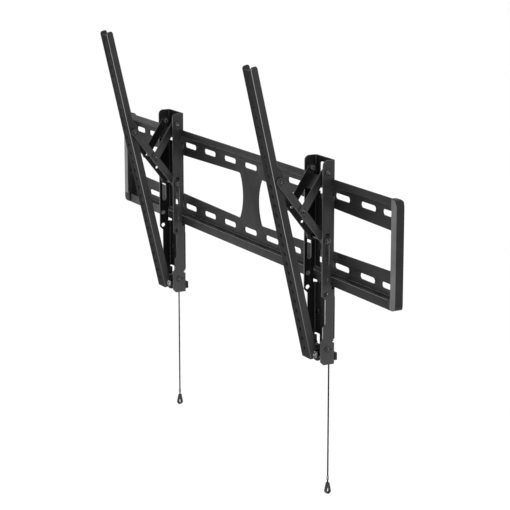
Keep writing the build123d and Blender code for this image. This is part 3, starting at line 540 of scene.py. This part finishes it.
def shade(mesh: bpy.types.Mesh) -> None:
    """Shade a mesh smooth, except across sharp angles."""
    mesh.shade_smooth()
    mesh.set_sharp_from_angle(angle=math.radians(SHARP_ANGLE))


def working_copy(mesh: bpy.types.Mesh) -> bmesh.types.BMesh:
    """Copy a mesh into one that can be cut and bent.

    Args:
        mesh: the mesh.

    Returns:
        The working mesh.
    """
    shell = bmesh.new()
    shell.from_mesh(mesh)
    return shell


def settle(shell: bmesh.types.BMesh, mesh: bpy.types.Mesh) -> bpy.types.Mesh:
    """Write a working mesh into a plain one, and free it.

    Args:
        shell: the working mesh.
        mesh: the plain mesh.

    Returns:
        The plain mesh.
    """
    shell.to_mesh(mesh)
    shell.free()
    return mesh


def score(shell: bmesh.types.BMesh, place: Point, across: Point) -> None:
    """Divide the faces of a working mesh along a plane.

    Args:
        shell: the working mesh.
        place: a point on the plane.
        across: the plane's normal.
    """
    everything = shell.verts[:] + shell.edges[:] + shell.faces[:]
    bmesh.ops.bisect_plane(shell, geom=everything, plane_co=place, plane_no=across)


class NodeGraph(NodeBuilder):
    """A Geometry Nodes tree."""

    def __init__(self, name: str) -> None:
        """Start an empty tree.

        Args:
            name: the tree's name.
        """
        self.group = bpy.data.node_groups.new(name, "GeometryNodeTree")
        self.group.interface.new_socket("Geometry", in_out="OUTPUT", socket_type="NodeSocketGeometry")
        super().__init__(self.group)
        self.entry = self.nodes.new("NodeGroupInput")
        self.exit = self.nodes.new("NodeGroupOutput")
        self.names: dict[str, str] = {}

    def socket(self, name: str, kind: str) -> bpy.types.NodeSocket:
        """Add a named input.

        Args:
            name: the input's name.
            kind: its socket type.

        Returns:
            The output of the group's entry for it.
        """
        made = self.group.interface.new_socket(name, in_out="INPUT", socket_type=kind)
        self.names[name] = made.identifier
        return next(out for out in self.entry.outputs if out.identifier == made.identifier)

    def maths(self, operation: str, first: object, second: object) -> bpy.types.NodeSocket:
        """Do a sum on two numbers.

        Args:
            operation: the sum.
            first: first number.
            second: second number.

        Returns:
            The result.
        """
        node = self.nodes.new("ShaderNodeMath")
        node.operation = operation
        self.feed(node.inputs[0], first)
        self.feed(node.inputs[1], second)
        return node.outputs[0]

    def resample(self, curve: bpy.types.NodeSocket, step: bpy.types.NodeSocket) -> bpy.types.Node:
        """Divide a curve into even steps.

        Args:
            curve: the curve.
            step: length of a step.

        Returns:
            The node that gives the divided curve.
        """
        node = self.nodes.new("GeometryNodeResampleCurve")
        node.mode = "LENGTH"
        self.feed(node.inputs["Curve"], curve)
        self.feed(node.inputs["Length"], step)
        return node

    def copies(self, curve: bpy.types.Node, count: bpy.types.NodeSocket) -> bpy.types.Node:
        """Copy a curve several times over.

        Args:
            curve: the node that gives the curve.
            count: number of copies.

        Returns:
            The node that gives the copies and the number of each.
        """
        node = self.nodes.new("GeometryNodeDuplicateElements")
        node.domain = "SPLINE"
        self.feed(node.inputs["Geometry"], curve)
        self.feed(node.inputs["Amount"], count)
        return node

    def turned(self, vector: object, axis: object, angle: object) -> bpy.types.NodeSocket:
        """Turn a vector about an axis.

        Args:
            vector: the vector.
            axis: the axis.
            angle: the angle in radians.

        Returns:
            The turned vector.
        """
        node = self.nodes.new("ShaderNodeVectorRotate")
        node.rotation_type = "AXIS_ANGLE"
        self.feed(node.inputs["Vector"], vector)
        self.feed(node.inputs["Axis"], axis)
        self.feed(node.inputs["Angle"], angle)
        return node.outputs[0]

    def scaled(self, vector: object, length: object) -> bpy.types.NodeSocket:
        """Scale a vector.

        Args:
            vector: the vector.
            length: what it is multiplied by.

        Returns:
            The scaled vector.
        """
        node = self.nodes.new("ShaderNodeVectorMath")
        node.operation = "SCALE"
        self.feed(node.inputs[0], vector)
        self.feed(node.inputs["Scale"], length)
        return node.outputs[0]

    def finish(self, last: bpy.types.Node, finish: bpy.types.Material) -> None:
        """Realise what was made and give it its finish.

        Args:
            last: the last node.
            finish: the finish.
        """
        real = self.add("GeometryNodeRealizeInstances", Geometry=last)
        dressed = self.add("GeometryNodeSetMaterial", Geometry=real, Material=finish)
        self.feed(self.exit.inputs[0], dressed)

    def make(self, name: str, finish: bpy.types.Material, values: dict[str, object]) -> bpy.types.Object:
        """Run the tree and bake what it makes.

        Args:
            name: the new piece's name.
            finish: its finish.
            values: a value for each named input.

        Returns:
            The new piece.
        """
        piece = new_piece(name, bpy.data.meshes.new(name), finish)
        modifier = piece.modifiers.new(self.group.name, "NODES")
        modifier.node_group = self.group
        for key, value in values.items():
            modifier[self.names[key]] = value
        bake(piece)
        piece.data.shade_smooth()
        return piece


@dataclass(frozen=True)
class EdgeBreak:
    """How far the sharp edges of a part are broken."""

    width: float = 0.35 * MM
    segments: int = 2
    from_angle: float = 32.0
    weld: float = 0.002 * MM
    flat_angle: float = 0.6

    def bevel(self, piece: bpy.types.Object, finish: int = FINISH_OF_FACES) -> None:
        """Break a piece's sharp edges.

        Args:
            piece: the piece.
            finish: index of the broken edges' finish.
        """
        modifier = piece.modifiers.new("edge_break", "BEVEL")
        modifier.width = self.width
        modifier.segments = self.segments
        modifier.limit_method = "ANGLE"
        modifier.angle_limit = math.radians(self.from_angle)
        modifier.use_clamp_overlap = True
        modifier.material = finish
        bake(piece)
        shade(piece.data)

    def soften(self, node: str, finish: bpy.types.Material, edge: bpy.types.Material) -> bpy.types.Object:
        """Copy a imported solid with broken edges, to stand in its place.

        Args:
            node: the solid's name.
            finish: finish of its faces.
            edge: finish of its broken edges.

        Returns:
            The new piece, already riding on the solid's body.
        """
        name = f"{node}_soft"
        copy = working_copy(frame["nodes"][node].data)
        flat = math.radians(self.flat_angle)
        bmesh.ops.remove_doubles(copy, verts=copy.verts, dist=self.weld)
        bmesh.ops.dissolve_limit(copy, angle_limit=flat, verts=copy.verts, edges=copy.edges)
        piece = new_piece(name, settle(copy, bpy.data.meshes.new(name)), finish)
        self.bevel(piece, add_finish(piece, edge))
        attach(piece, body_of(node))
        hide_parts(node)
        slot_of(node)
        return piece


@dataclass
class WallPlate:
    """Slotted wall plate with its two end caps."""

    node: str = "wall_plate"
    caps: tuple[str, str] = ("left_end_cap", "right_end_cap")
    edges: EdgeBreak = EdgeBreak()
    cap_edges: EdgeBreak = EdgeBreak(0.5 * MM)
    crest_facing: float = 0.5
    strip_from: float = 417.4 * MM
    strip_feet: tuple[float, float] = (-62.0 * MM, -1000.0 * MM)
    strip_depth: float = 0.2 * MM
    strip_facing: float = 0.9
    cap_top: float = 75.5 * MM
    cap_corner: float = 9.5 * MM
    corner_slack: float = 0.6 * MM
    shoulder_from: float = 422.3 * MM
    shoulder: float = 16.0 * MM
    cap_back: float = 6.0 * MM
    back_slack: float = 0.1 * MM
    back_steps: int = 7

    def build(self, finishes: Finishes) -> None:
        """Break the plate's edges and give each cap its two tones.

        Args:
            finishes: every finish.
        """
        plate = self.edges.soften(self.node, finishes.plate_coat, finishes.coat_edge)
        self.tone_bends(plate, finishes.bend)
        # The left cap's strip takes the paler copy of the grey: painted light.
        fronts = (finishes.cap_pale, finishes.cap_front)
        for cap, finish, foot in zip(self.caps, fronts, self.strip_feet):
            piece = self.cap_edges.soften(cap, finishes.cap_side, finishes.cap_side)
            self.drop_shoulder(piece)
            self.tone_front(piece, finish, foot)

    def tone_bends(self, plate: bpy.types.Object, finish: bpy.types.Material) -> None:
        """Paint a highlight on the crests of the lower lip's two bends.

        Args:
            plate: the plate.
            finish: the painted highlight's finish.
        """
        highlight = add_finish(plate, finish)
        for face in plate.data.polygons:
            lower_front = face.center.z < 0 and -face.normal.y > self.crest_facing
            if lower_front and CREST_FROM < face.normal.z < CREST_TO:
                face.material_index = highlight

    def drop_shoulder(self, cap: bpy.types.Object) -> None:
        """Draw out the curve of the cap's upper outer corner, and round its top towards the wall.

        Args:
            cap: the cap.
        """
        stretch = self.shoulder / self.cap_corner
        shell = working_copy(cap.data)
        for step in range(1, self.back_steps):
            depth = self.cap_back * (1 - math.cos(step / self.back_steps * math.pi / 2))
            score(shell, (0, -depth, 0), (0, 1, 0))
        for vertex in shell.verts:
            drop = self.cap_top - vertex.co.z
            if abs(vertex.co.x) > self.shoulder_from and 0 < drop < self.cap_corner + self.corner_slack:
                vertex.co.z = self.cap_top - stretch * drop
            reach = self.cap_back + vertex.co.y
            share = (vertex.co.z - self.cap_top) / (self.cap_back + self.back_slack) + 1
            if reach > 0 and share > 0:
                vertex.co.z -= share * (self.cap_back - math.sqrt(max(self.cap_back**2 - reach**2, 0)))
        shade(settle(shell, cap.data))

    def tone_front(self, cap: bpy.types.Object, finish: bpy.types.Material, foot: float) -> None:
        """Give the cap's forward strip its paler finish.

        Args:
            cap: the cap.
            finish: the paler finish.
            foot: height that the strip starts from.
        """
        side = math.copysign(1.0, cap.data.vertices[0].co.x)
        front = min(vertex.co.y for vertex in cap.data.vertices)
        paler = add_finish(cap, finish)
        shell = working_copy(cap.data)
        score(shell, (side * self.strip_from, 0, 0), (1, 0, 0))
        score(shell, (0, 0, foot), (0, 0, 1))
        for face in shell.faces:
            middle = face.calc_center_median()
            forward = -face.normal.y > self.strip_facing and middle.y < front + self.strip_depth
            if forward and side * middle.x > self.strip_from and middle.z > foot:
                face.material_index = paler
        settle(shell, cap.data)


@dataclass
class CoilSpring:
    """Close-wound latch spring that stretches between the channel's lug and the latch's tab."""

    arm: Arm
    wire: float = 0.9 * MM
    turns: float = 30.0
    sides: int = 8
    steps_a_turn: int = 20

    def build(self, finishes: Finishes) -> None:
        """Wind the spring where the imported one stands, and hide that solid.

        Args:
            finishes: every finish.
        """
        node = self.arm.node("latch_spring")
        low, high = (Vector(corner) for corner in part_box(node))
        piece = self.wind(low, high, finishes.bright)
        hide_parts(node)
        self.arm.body()
        self.arm.body("latch")
        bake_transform(piece)

    def wind(self, low: Vector, high: Vector, finish: bpy.types.Material) -> bpy.types.Object:
        """Make the coil with Geometry Nodes and bake it.

        Args:
            low: lowest corner of the space it fills.
            high: highest corner of that space.
            finish: the wire's finish.

        Returns:
            The coil.
        """
        tree = NodeGraph("wound_spring")
        radius = tree.socket("Coil radius", "NodeSocketFloat")
        height = tree.socket("Height", "NodeSocketFloat")
        turns = tree.socket("Turns", "NodeSocketFloat")
        steps = tree.socket("Steps a turn", "NodeSocketInt")
        wire = tree.socket("Wire radius", "NodeSocketFloat")
        seat = tree.socket("Seat", "NodeSocketVector")
        helix = tree.add("GeometryNodeCurveSpiral", Resolution=steps, Rotations=turns,
                         Start_Radius=radius, End_Radius=radius, Height=height)
        section = tree.add("GeometryNodeCurvePrimitiveCircle", Resolution=self.sides, Radius=wire)
        tube = tree.add("GeometryNodeCurveToMesh", Curve=helix, Profile_Curve=section, Fill_Caps=True)
        placed = tree.add("GeometryNodeTransform", Geometry=tube, Translation=seat)
        tree.finish(placed, finish)
        thick = self.wire / 2
        return tree.make(self.arm.node("coil"), finish, {
            "Coil radius": (high.x - low.x) / 2 - thick,
            "Height": high.z - low.z - self.wire,
            "Turns": self.turns,
            "Steps a turn": self.steps_a_turn,
            "Wire radius": thick,
            "Seat": ((low.x + high.x) / 2, (low.y + high.y) / 2, low.z + thick),
        })


@dataclass
class LatchSkirt:
    """Web between the latch's two fingers, behind the plate's lower lip."""

    arm: Arm
    half_width: float = 23.5 * MM
    front: float = -8.9 * MM
    back: float = -7.3 * MM
    top: float = -71.0 * MM
    bottom: float = -92.0 * MM
    edges: EdgeBreak = EdgeBreak(0.3 * MM)

    def build(self, finishes: Finishes) -> None:
        """Cut the web and set it between the fingers.

        Args:
            finishes: every finish.
        """
        name = self.arm.node("latch_skirt")
        size = (2 * self.half_width, self.back - self.front, self.top - self.bottom)
        middle = (self.arm.x, (self.back + self.front) / 2, (self.top + self.bottom) / 2)
        web = bmesh.new()
        bmesh.ops.create_cube(web, size=1.0, matrix=Matrix.Translation(middle) @ Matrix.Diagonal((*size, 1)))
        # The web takes the inside finish: painted shade.
        piece = new_piece(name, settle(web, bpy.data.meshes.new(name)), finishes.inner_coat)
        self.edges.bevel(piece)
        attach(piece, self.arm.body("latch"))
        slot_of(self.arm.node("latch_plate"))


@dataclass(frozen=True)
class Layer:
    """One layer on the tension bolt, with its radius taken over the corners."""

    radius: float
    height: float
    sides: int


@dataclass
class TensionNut:
    """Nut, washer and bolt end on each side of the rail's foot, which stiffen the tilt."""

    arm: Arm
    seat: float = 13.1 * MM
    y: float = -30.4 * MM
    z: float = -175.8 * MM
    washer: Layer = Layer(5.9 * MM, 0.8 * MM, 32)
    nut: Layer = Layer(5.3 * MM, 3.6 * MM, 6)
    bolt_end: Layer = Layer(2.9 * MM, 1.4 * MM, 24)
    edges: EdgeBreak = EdgeBreak(0.25 * MM)

    def build(self, finishes: Finishes) -> None:
        """Stack the layers on both sides of the rail.

        Args:
            finishes: every finish.
        """
        name = self.arm.node("tension_nuts")
        stack = bmesh.new()
        for hand in (-1, 1):
            foot = self.seat
            for layer in (self.washer, self.nut, self.bolt_end):
                self.lay(stack, layer, hand, foot)
                foot += layer.height
        piece = new_piece(name, settle(stack, bpy.data.meshes.new(name)), finishes.zinc)
        self.edges.bevel(piece)
        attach(piece, body_of(self.arm.node("tv_rail")))

    def lay(self, stack: bmesh.types.BMesh, layer: Layer, hand: int, foot: float) -> None:
        """Add one layer to the stack.

        Args:
            stack: the mesh that is built.
            layer: the layer.
            hand: side of the rail, -1 or 1.
            foot: distance of its inner face from the arm's middle.
        """
        turn = Matrix.Rotation(math.radians(90.0), 4, "Y")
        place = Matrix.Translation((self.arm.x + hand * (foot + layer.height / 2), self.y, self.z))
        bmesh.ops.create_cone(stack, cap_ends=True, segments=layer.sides, radius1=layer.radius,
                              radius2=layer.radius, depth=layer.height, matrix=place @ turn)


@dataclass
class SwingArm:
    """One arm: channel, rail, links, pins, latch and bumpers."""

    arm: Arm
    sheet_edges: EdgeBreak = EdgeBreak()
    link_edges: EdgeBreak = EdgeBreak(0.3 * MM)
    pin_edges: EdgeBreak = EdgeBreak(0.25 * MM)
    flange_inside: float = 24.2 * MM
    channel_facing: float = 0.95
    # Arm and band of heights whose flange edges get the brightest painted highlight
    rubbed_arm: Arm = Arm.RIGHT
    rubbed_from: float = -155.0 * MM
    rubbed_to: float = -78.0 * MM
    crank_facing: float = 0.9
    rail_lean: float = 13.0
    rail_facing: float = 0.97
    crest_facing: float = 0.4
    cross_pins: tuple[str, ...] = ("slider_pin", "rail_pin", "pivot_pin")
    paired_steel: tuple[str, ...] = ("top_pin", "middle_eyelet", "guide_rivet")
    paired_nylon: tuple[str, ...] = ("top_spacer", "slider_roller", "pivot_spacer", "rail_washer")

    def build(self, finishes: Finishes) -> None:
        """Break the steel parts' edges and dress the rest.

        Args:
            finishes: every finish.
        """
        node = self.arm.node
        channel = self.sheet_edges.soften(node("channel"), finishes.channel_coat, finishes.coat_edge)
        self.tone_channel(channel, finishes)
        rail = self.sheet_edges.soften(node("tv_rail"), finishes.coat, finishes.coat_edge)
        self.tone_rail(rail, finishes)
        self.sheet_edges.soften(node("latch_plate"), finishes.coat, finishes.coat_edge)
        self.link_edges.soften(node("long_link"), finishes.link_coat, finishes.link_edge)
        crank = self.link_edges.soften(node("short_link"), finishes.crank_coat, finishes.crank_coat)
        self.tone_crank(crank, finishes.inner_coat)
        # The pins' broken rims take the speckled zinc: painted glints.
        for piece in self.cross_pins:
            self.pin_edges.soften(node(piece), finishes.pin, finishes.zinc)
        for hand in ("left", "right"):
            dress(node(f"bumper_{hand}"), finishes.rubber)
            for piece in self.paired_steel:
                self.pin_edges.soften(node(f"{piece}_{hand}"), finishes.pin, finishes.zinc)
            for piece in self.paired_nylon:
                dress(node(f"{piece}_{hand}"), finishes.nylon)
        CoilSpring(self.arm).build(finishes)
        TensionNut(self.arm).build(finishes)
        LatchSkirt(self.arm).build(finishes)

    def inward(self, face: bpy.types.MeshPolygon) -> float:
        """Share of a face's normal that points to the arm's middle."""
        return -face.normal.x * math.copysign(1.0, face.center.x - self.arm.x)

    def tone_channel(self, channel: bpy.types.Object, finishes: Finishes) -> None:
        """Paint highlights on the flanges' forward cut edges, brightest low on the right arm, and paint shade
        on the channel's inside.

        Args:
            channel: the channel.
            finishes: every finish.
        """
        cut = add_finish(channel, finishes.cut_edge)
        strong_highlight = add_finish(channel, finishes.bare_edge)
        inside = add_finish(channel, finishes.inner_coat)
        for face in channel.data.polygons:
            forward = -face.normal.y > self.channel_facing
            # Forward cut edges get a painted highlight; inward faces get painted shade.
            if forward and abs(face.center.x - self.arm.x) > self.flange_inside:
                low = self.rubbed_from < face.center.z < self.rubbed_to
                face.material_index = strong_highlight if low and self.arm is self.rubbed_arm else cut
            elif forward or self.inward(face) > self.channel_facing:
                face.material_index = inside

    def tone_crank(self, crank: bpy.types.Object, finish: bpy.types.Material) -> None:
        """Paint shade on the inside of the short link.

        Args:
            crank: the short link.
            finish: the painted shade's finish.
        """
        painted_shade = add_finish(crank, finish)
        for face in crank.data.polygons:
            if self.inward(face) > self.crank_facing:
                face.material_index = painted_shade

    def tone_rail(self, rail: bpy.types.Object, finishes: Finishes) -> None:
        """Give the rail its matt face and paint a highlight on the crests of its two long bends.

        Args:
            rail: the rail.
            finishes: every finish.
        """
        highlight = add_finish(rail, finishes.bend)
        matt = add_finish(rail, finishes.rail_face)
        lean = math.radians(self.rail_lean)
        front = Vector((0, -math.cos(lean), -math.sin(lean)))
        for face in rail.data.polygons:
            facing = face.normal.dot(front)
            if facing > self.rail_facing:
                face.material_index = matt
            elif facing > self.crest_facing and CREST_FROM < abs(face.normal.x) < CREST_TO:
                face.material_index = highlight


@dataclass
class PullCord:
    """Laid pull cord of three strands with its crimp, tag and stop knot."""

    arm: Arm
    offset: float = 5.6 * MM
    y: float = -5.5 * MM
    top: float = -147.5 * MM
    bottom: float = -377.0 * MM
    route_steps: int = 6
    line_order: int = 3
    line_resolution: int = 8
    diameter: float = 2.0 * MM
    strands: int = 3
    strand_share: float = 0.36
    ring_share: float = 0.24
    strand_sides: int = 7
    lay_length: float = 7.0 * MM
    points_a_lay: int = 12
    tag_edges: EdgeBreak = EdgeBreak(0.6 * MM, 3)
    tag_hang: float = -374.5 * MM
    left_lean: float = -60.0
    right_lean: float = 4.0
    knot_radius: float = 1.45 * MM
    knot_lift: float = 1.5 * MM
    knot_grid: tuple[int, int] = (24, 16)
    knot_swell: float = 0.07
    knot_lobes: int = 3
    knot_twist: int = 5

    def build(self, finishes: Finishes) -> None:
        """Lay the cord and dress what hangs on it.

        Args:
            finishes: every finish.
        """
        x = self.arm.x + math.copysign(self.offset, self.arm.x)
        fall = self.bottom - self.top
        steps = range(self.route_steps + 1)
        route = [(x, self.y, self.top + fall * step / self.route_steps) for step in steps]
        guide = self.guide_line(route)
        line = bpy.data.meshes.new_from_object(guide.evaluated_get(bpy.context.evaluated_depsgraph_get()))
        piece = self.lay_strands(guide, finishes.yarn)
        bpy.data.objects.remove(guide)
        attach(piece, self.arm.body("latch"))
        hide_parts(self.arm.node("cord"))
        crimp = dress(self.arm.node("cord_crimp"), finishes.zinc)
        tag = self.hang_tag(x, finishes.tag)
        knot = self.knot(x, finishes.yarn)

    def hang_tag(self, x: float, finish: bpy.types.Material) -> bpy.types.Object:
        """Copy the tag with broken edges and let it hang plumb, turned about the cord.

        Args:
            x: the cord's place along the plate.
            finish: the tag's finish.

        Returns:
            The tag.
        """
        tag = self.tag_edges.soften(self.arm.node("pull_tag"), finish, finish)
        lean = math.radians(self.left_lean if self.arm is Arm.LEFT else self.right_lean)
        hook = Matrix.Translation((x, self.y, self.tag_hang))
        plumb = Matrix.Rotation(lean, 4, "Z") @ Matrix.Rotation(-lean, 4, "Y")
        tag.data.transform(hook @ plumb @ hook.inverted())
        return tag

    def guide_line(self, route: Sequence[Point]) -> bpy.types.Object:
        """Draw the cord's smooth line.

        Args:
            route: its control points.

        Returns:
            The line, a curve with no bevel.
        """
        curve = bpy.data.curves.new(f"{self.arm.side}_cord_line", "CURVE")
        curve.dimensions = "3D"
        curve.resolution_u = self.line_resolution
        spline = curve.splines.new("NURBS")
        spline.points.add(len(route) - 1)
        for point, place in zip(spline.points, route):
            point.co = (*place, 1)
        spline.order_u = self.line_order
        spline.use_endpoint_u = True
        guide = bpy.data.objects.new(curve.name, curve)
        bpy.context.scene.collection.objects.link(guide)
        bpy.context.view_layer.update()
        return guide

    def lay_strands(self, guide: bpy.types.Object, finish: bpy.types.Material) -> bpy.types.Object:
        """Twist the strands round the line with Geometry Nodes and bake them.

        Args:
            guide: the cord's smooth line.
            finish: the yarn's finish.

        Returns:
            The cord.
        """
        tree = NodeGraph("laid_cord")
        line = tree.socket("Line", "NodeSocketObject")
        count = tree.socket("Strands", "NodeSocketInt")
        ring_radius = tree.socket("Ring radius", "NodeSocketFloat")
        strand_radius = tree.socket("Strand radius", "NodeSocketFloat")
        step = tree.socket("Step", "NodeSocketFloat")
        lay = tree.socket("Lay length", "NodeSocketFloat")
        source = tree.add("GeometryNodeObjectInfo", Object=line).outputs["Geometry"]
        sampled = tree.resample(source, step)
        copies = tree.copies(sampled, count)
        share = tree.maths("DIVIDE", copies.outputs[1], count)
        along = tree.add("GeometryNodeSplineParameter").outputs["Length"]
        turn = tree.maths("ADD", share, tree.maths("DIVIDE", along, lay))
        angle = tree.maths("MULTIPLY", turn, math.tau)
        tangent = tree.add("GeometryNodeInputTangent")
        normal = tree.add("GeometryNodeInputNormal")
        offset = tree.scaled(tree.turned(normal, tangent, angle), ring_radius)
        moved = tree.add("GeometryNodeSetPosition", Geometry=copies, Offset=offset)
        section = tree.add("GeometryNodeCurvePrimitiveCircle", Resolution=self.strand_sides,
                           Radius=strand_radius)
        tube = tree.add("GeometryNodeCurveToMesh", Curve=moved, Profile_Curve=section, Fill_Caps=True)
        tree.finish(tube, finish)
        return tree.make(self.arm.node("laid_cord"), finish, {
            "Line": guide,
            "Strands": self.strands,
            "Ring radius": self.ring_share * self.diameter,
            "Strand radius": self.strand_share * self.diameter,
            "Step": self.lay_length / self.points_a_lay,
            "Lay length": self.lay_length,
        })

    def knot(self, x: float, finish: bpy.types.Material) -> bpy.types.Object:
        """Tie the stop knot that holds the cord in the latch's staple.

        Args:
            x: the cord's place along the plate.
            finish: the yarn's finish.

        Returns:
            The knot, riding on the latch.
        """
        name = self.arm.node("cord_knot")
        round_sides, rows = self.knot_grid
        ball = bmesh.new()
        bmesh.ops.create_uvsphere(ball, u_segments=round_sides, v_segments=rows, radius=self.knot_radius)
        for vertex in ball.verts:
            turn = math.atan2(vertex.co.y, vertex.co.x)
            rise = vertex.co.z / self.knot_radius
            vertex.co *= 1 + self.knot_swell * math.sin(self.knot_lobes * turn + self.knot_twist * rise)
            vertex.co += Vector((x, self.y, self.top + self.knot_lift))
        piece = new_piece(name, settle(ball, bpy.data.meshes.new(name)), finish)
        piece.data.shade_smooth()
        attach(piece, self.arm.body("latch"))
        return piece


@dataclass(frozen=True)
class Softbox:
    """A square soft light, with its side in metres and its power in watts."""

    name: str
    place: Point
    size: float
    power: float


@dataclass
class Studio:
    """Pale floor, soft lights and the camera."""

    floor_z: float = -1.1
    floor_reach: float = 60.0
    floor_tones: tuple[Colour, Colour] = ((0.96, 0.96, 0.96), (0.98, 0.98, 0.98))
    floor_cloud: float = 2.0
    floor_roughness: float = 0.9
    surround: float = 1.04
    softboxes: tuple[Softbox, ...] = (
        Softbox("key_softbox", (3.4, -1.2, 1.6), 2.2, 34.0),
        Softbox("fill_softbox", (-1.2, -3.2, 1.6), 2.5, 4.0),
    )
    azimuth: float = 61.75
    elevation: float = 13.11
    distance: float = 2.8794
    target: Point = (0.01094, 0.0, -0.0848)
    lens: float = 133.72
    view_end: float = 200.0

    def build(self) -> None:
        """Set the stage."""
        self.floor()
        self.world()
        for softbox in self.softboxes:
            self.light(softbox)
        self.camera()
        bpy.context.scene.view_settings.view_transform = "Standard"

    def floor(self) -> None:
        """Lay the wide pale floor."""
        far = self.floor_reach
        corners = [(-far, -far), (far, -far), (far, far), (-far, far)]
        mesh = bpy.data.meshes.new("studio_floor")
        mesh.from_pydata([(x, y, self.floor_z) for x, y in corners], [], [(0, 1, 2, 3)])
        shader = Shader("pale_floor")
        colour = shader.blend(shader.span(shader.noise(self.floor_cloud)), *self.floor_tones)
        shader.surface(Base_Color=colour, Roughness=self.floor_roughness)
        new_piece("studio_floor", mesh, shader.material)

    def world(self) -> None:
        """Make the surroundings an even white."""
        world = bpy.data.worlds.new("studio_world")
        world.use_nodes = True
        background = world.node_tree.nodes["Background"]
        background.inputs["Color"].default_value = (1, 1, 1, 1)
        background.inputs["Strength"].default_value = self.surround
        bpy.context.scene.world = world

    def light(self, softbox: Softbox) -> None:
        """Add one softbox, aimed at the bracket.

        Args:
            softbox: the softbox.
        """
        data = bpy.data.lights.new(softbox.name, "AREA")
        data.size = softbox.size
        data.energy = softbox.power
        lamp = bpy.data.objects.new(softbox.name, data)
        lamp.location = softbox.place
        aim = Vector(self.target) - Vector(softbox.place)
        lamp.rotation_euler = aim.to_track_quat("-Z", "Y").to_euler()
        bpy.context.scene.collection.objects.link(lamp)

    def camera(self) -> None:
        """Stand the camera where the photograph was taken from."""
        turn, rise = math.radians(self.azimuth), math.radians(self.elevation)
        back = Vector((math.sin(turn) * math.cos(rise), -math.cos(turn) * math.cos(rise), math.sin(rise)))
        data = bpy.data.cameras.new("photo_camera")
        data.lens = self.lens
        data.clip_end = self.view_end
        camera = bpy.data.objects.new("photo_camera", data)
        camera.location = Vector(self.target) + back * self.distance
        camera.rotation_euler = (-back).to_track_quat("-Z", "Y").to_euler()
        bpy.context.scene.collection.objects.link(camera)
        bpy.context.scene.camera = camera


def main() -> None:
    """Build the bracket's looks."""
    logging.basicConfig(level=logging.INFO, format="%(name)s: %(message)s")
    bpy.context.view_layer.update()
    finishes = Finishes.make()
    WallPlate().build(finishes)
    for arm in Arm:
        SwingArm(arm).build(finishes)
        PullCord(arm).build(finishes)
    Studio().build()


if __name__ == "__main__":
    main()
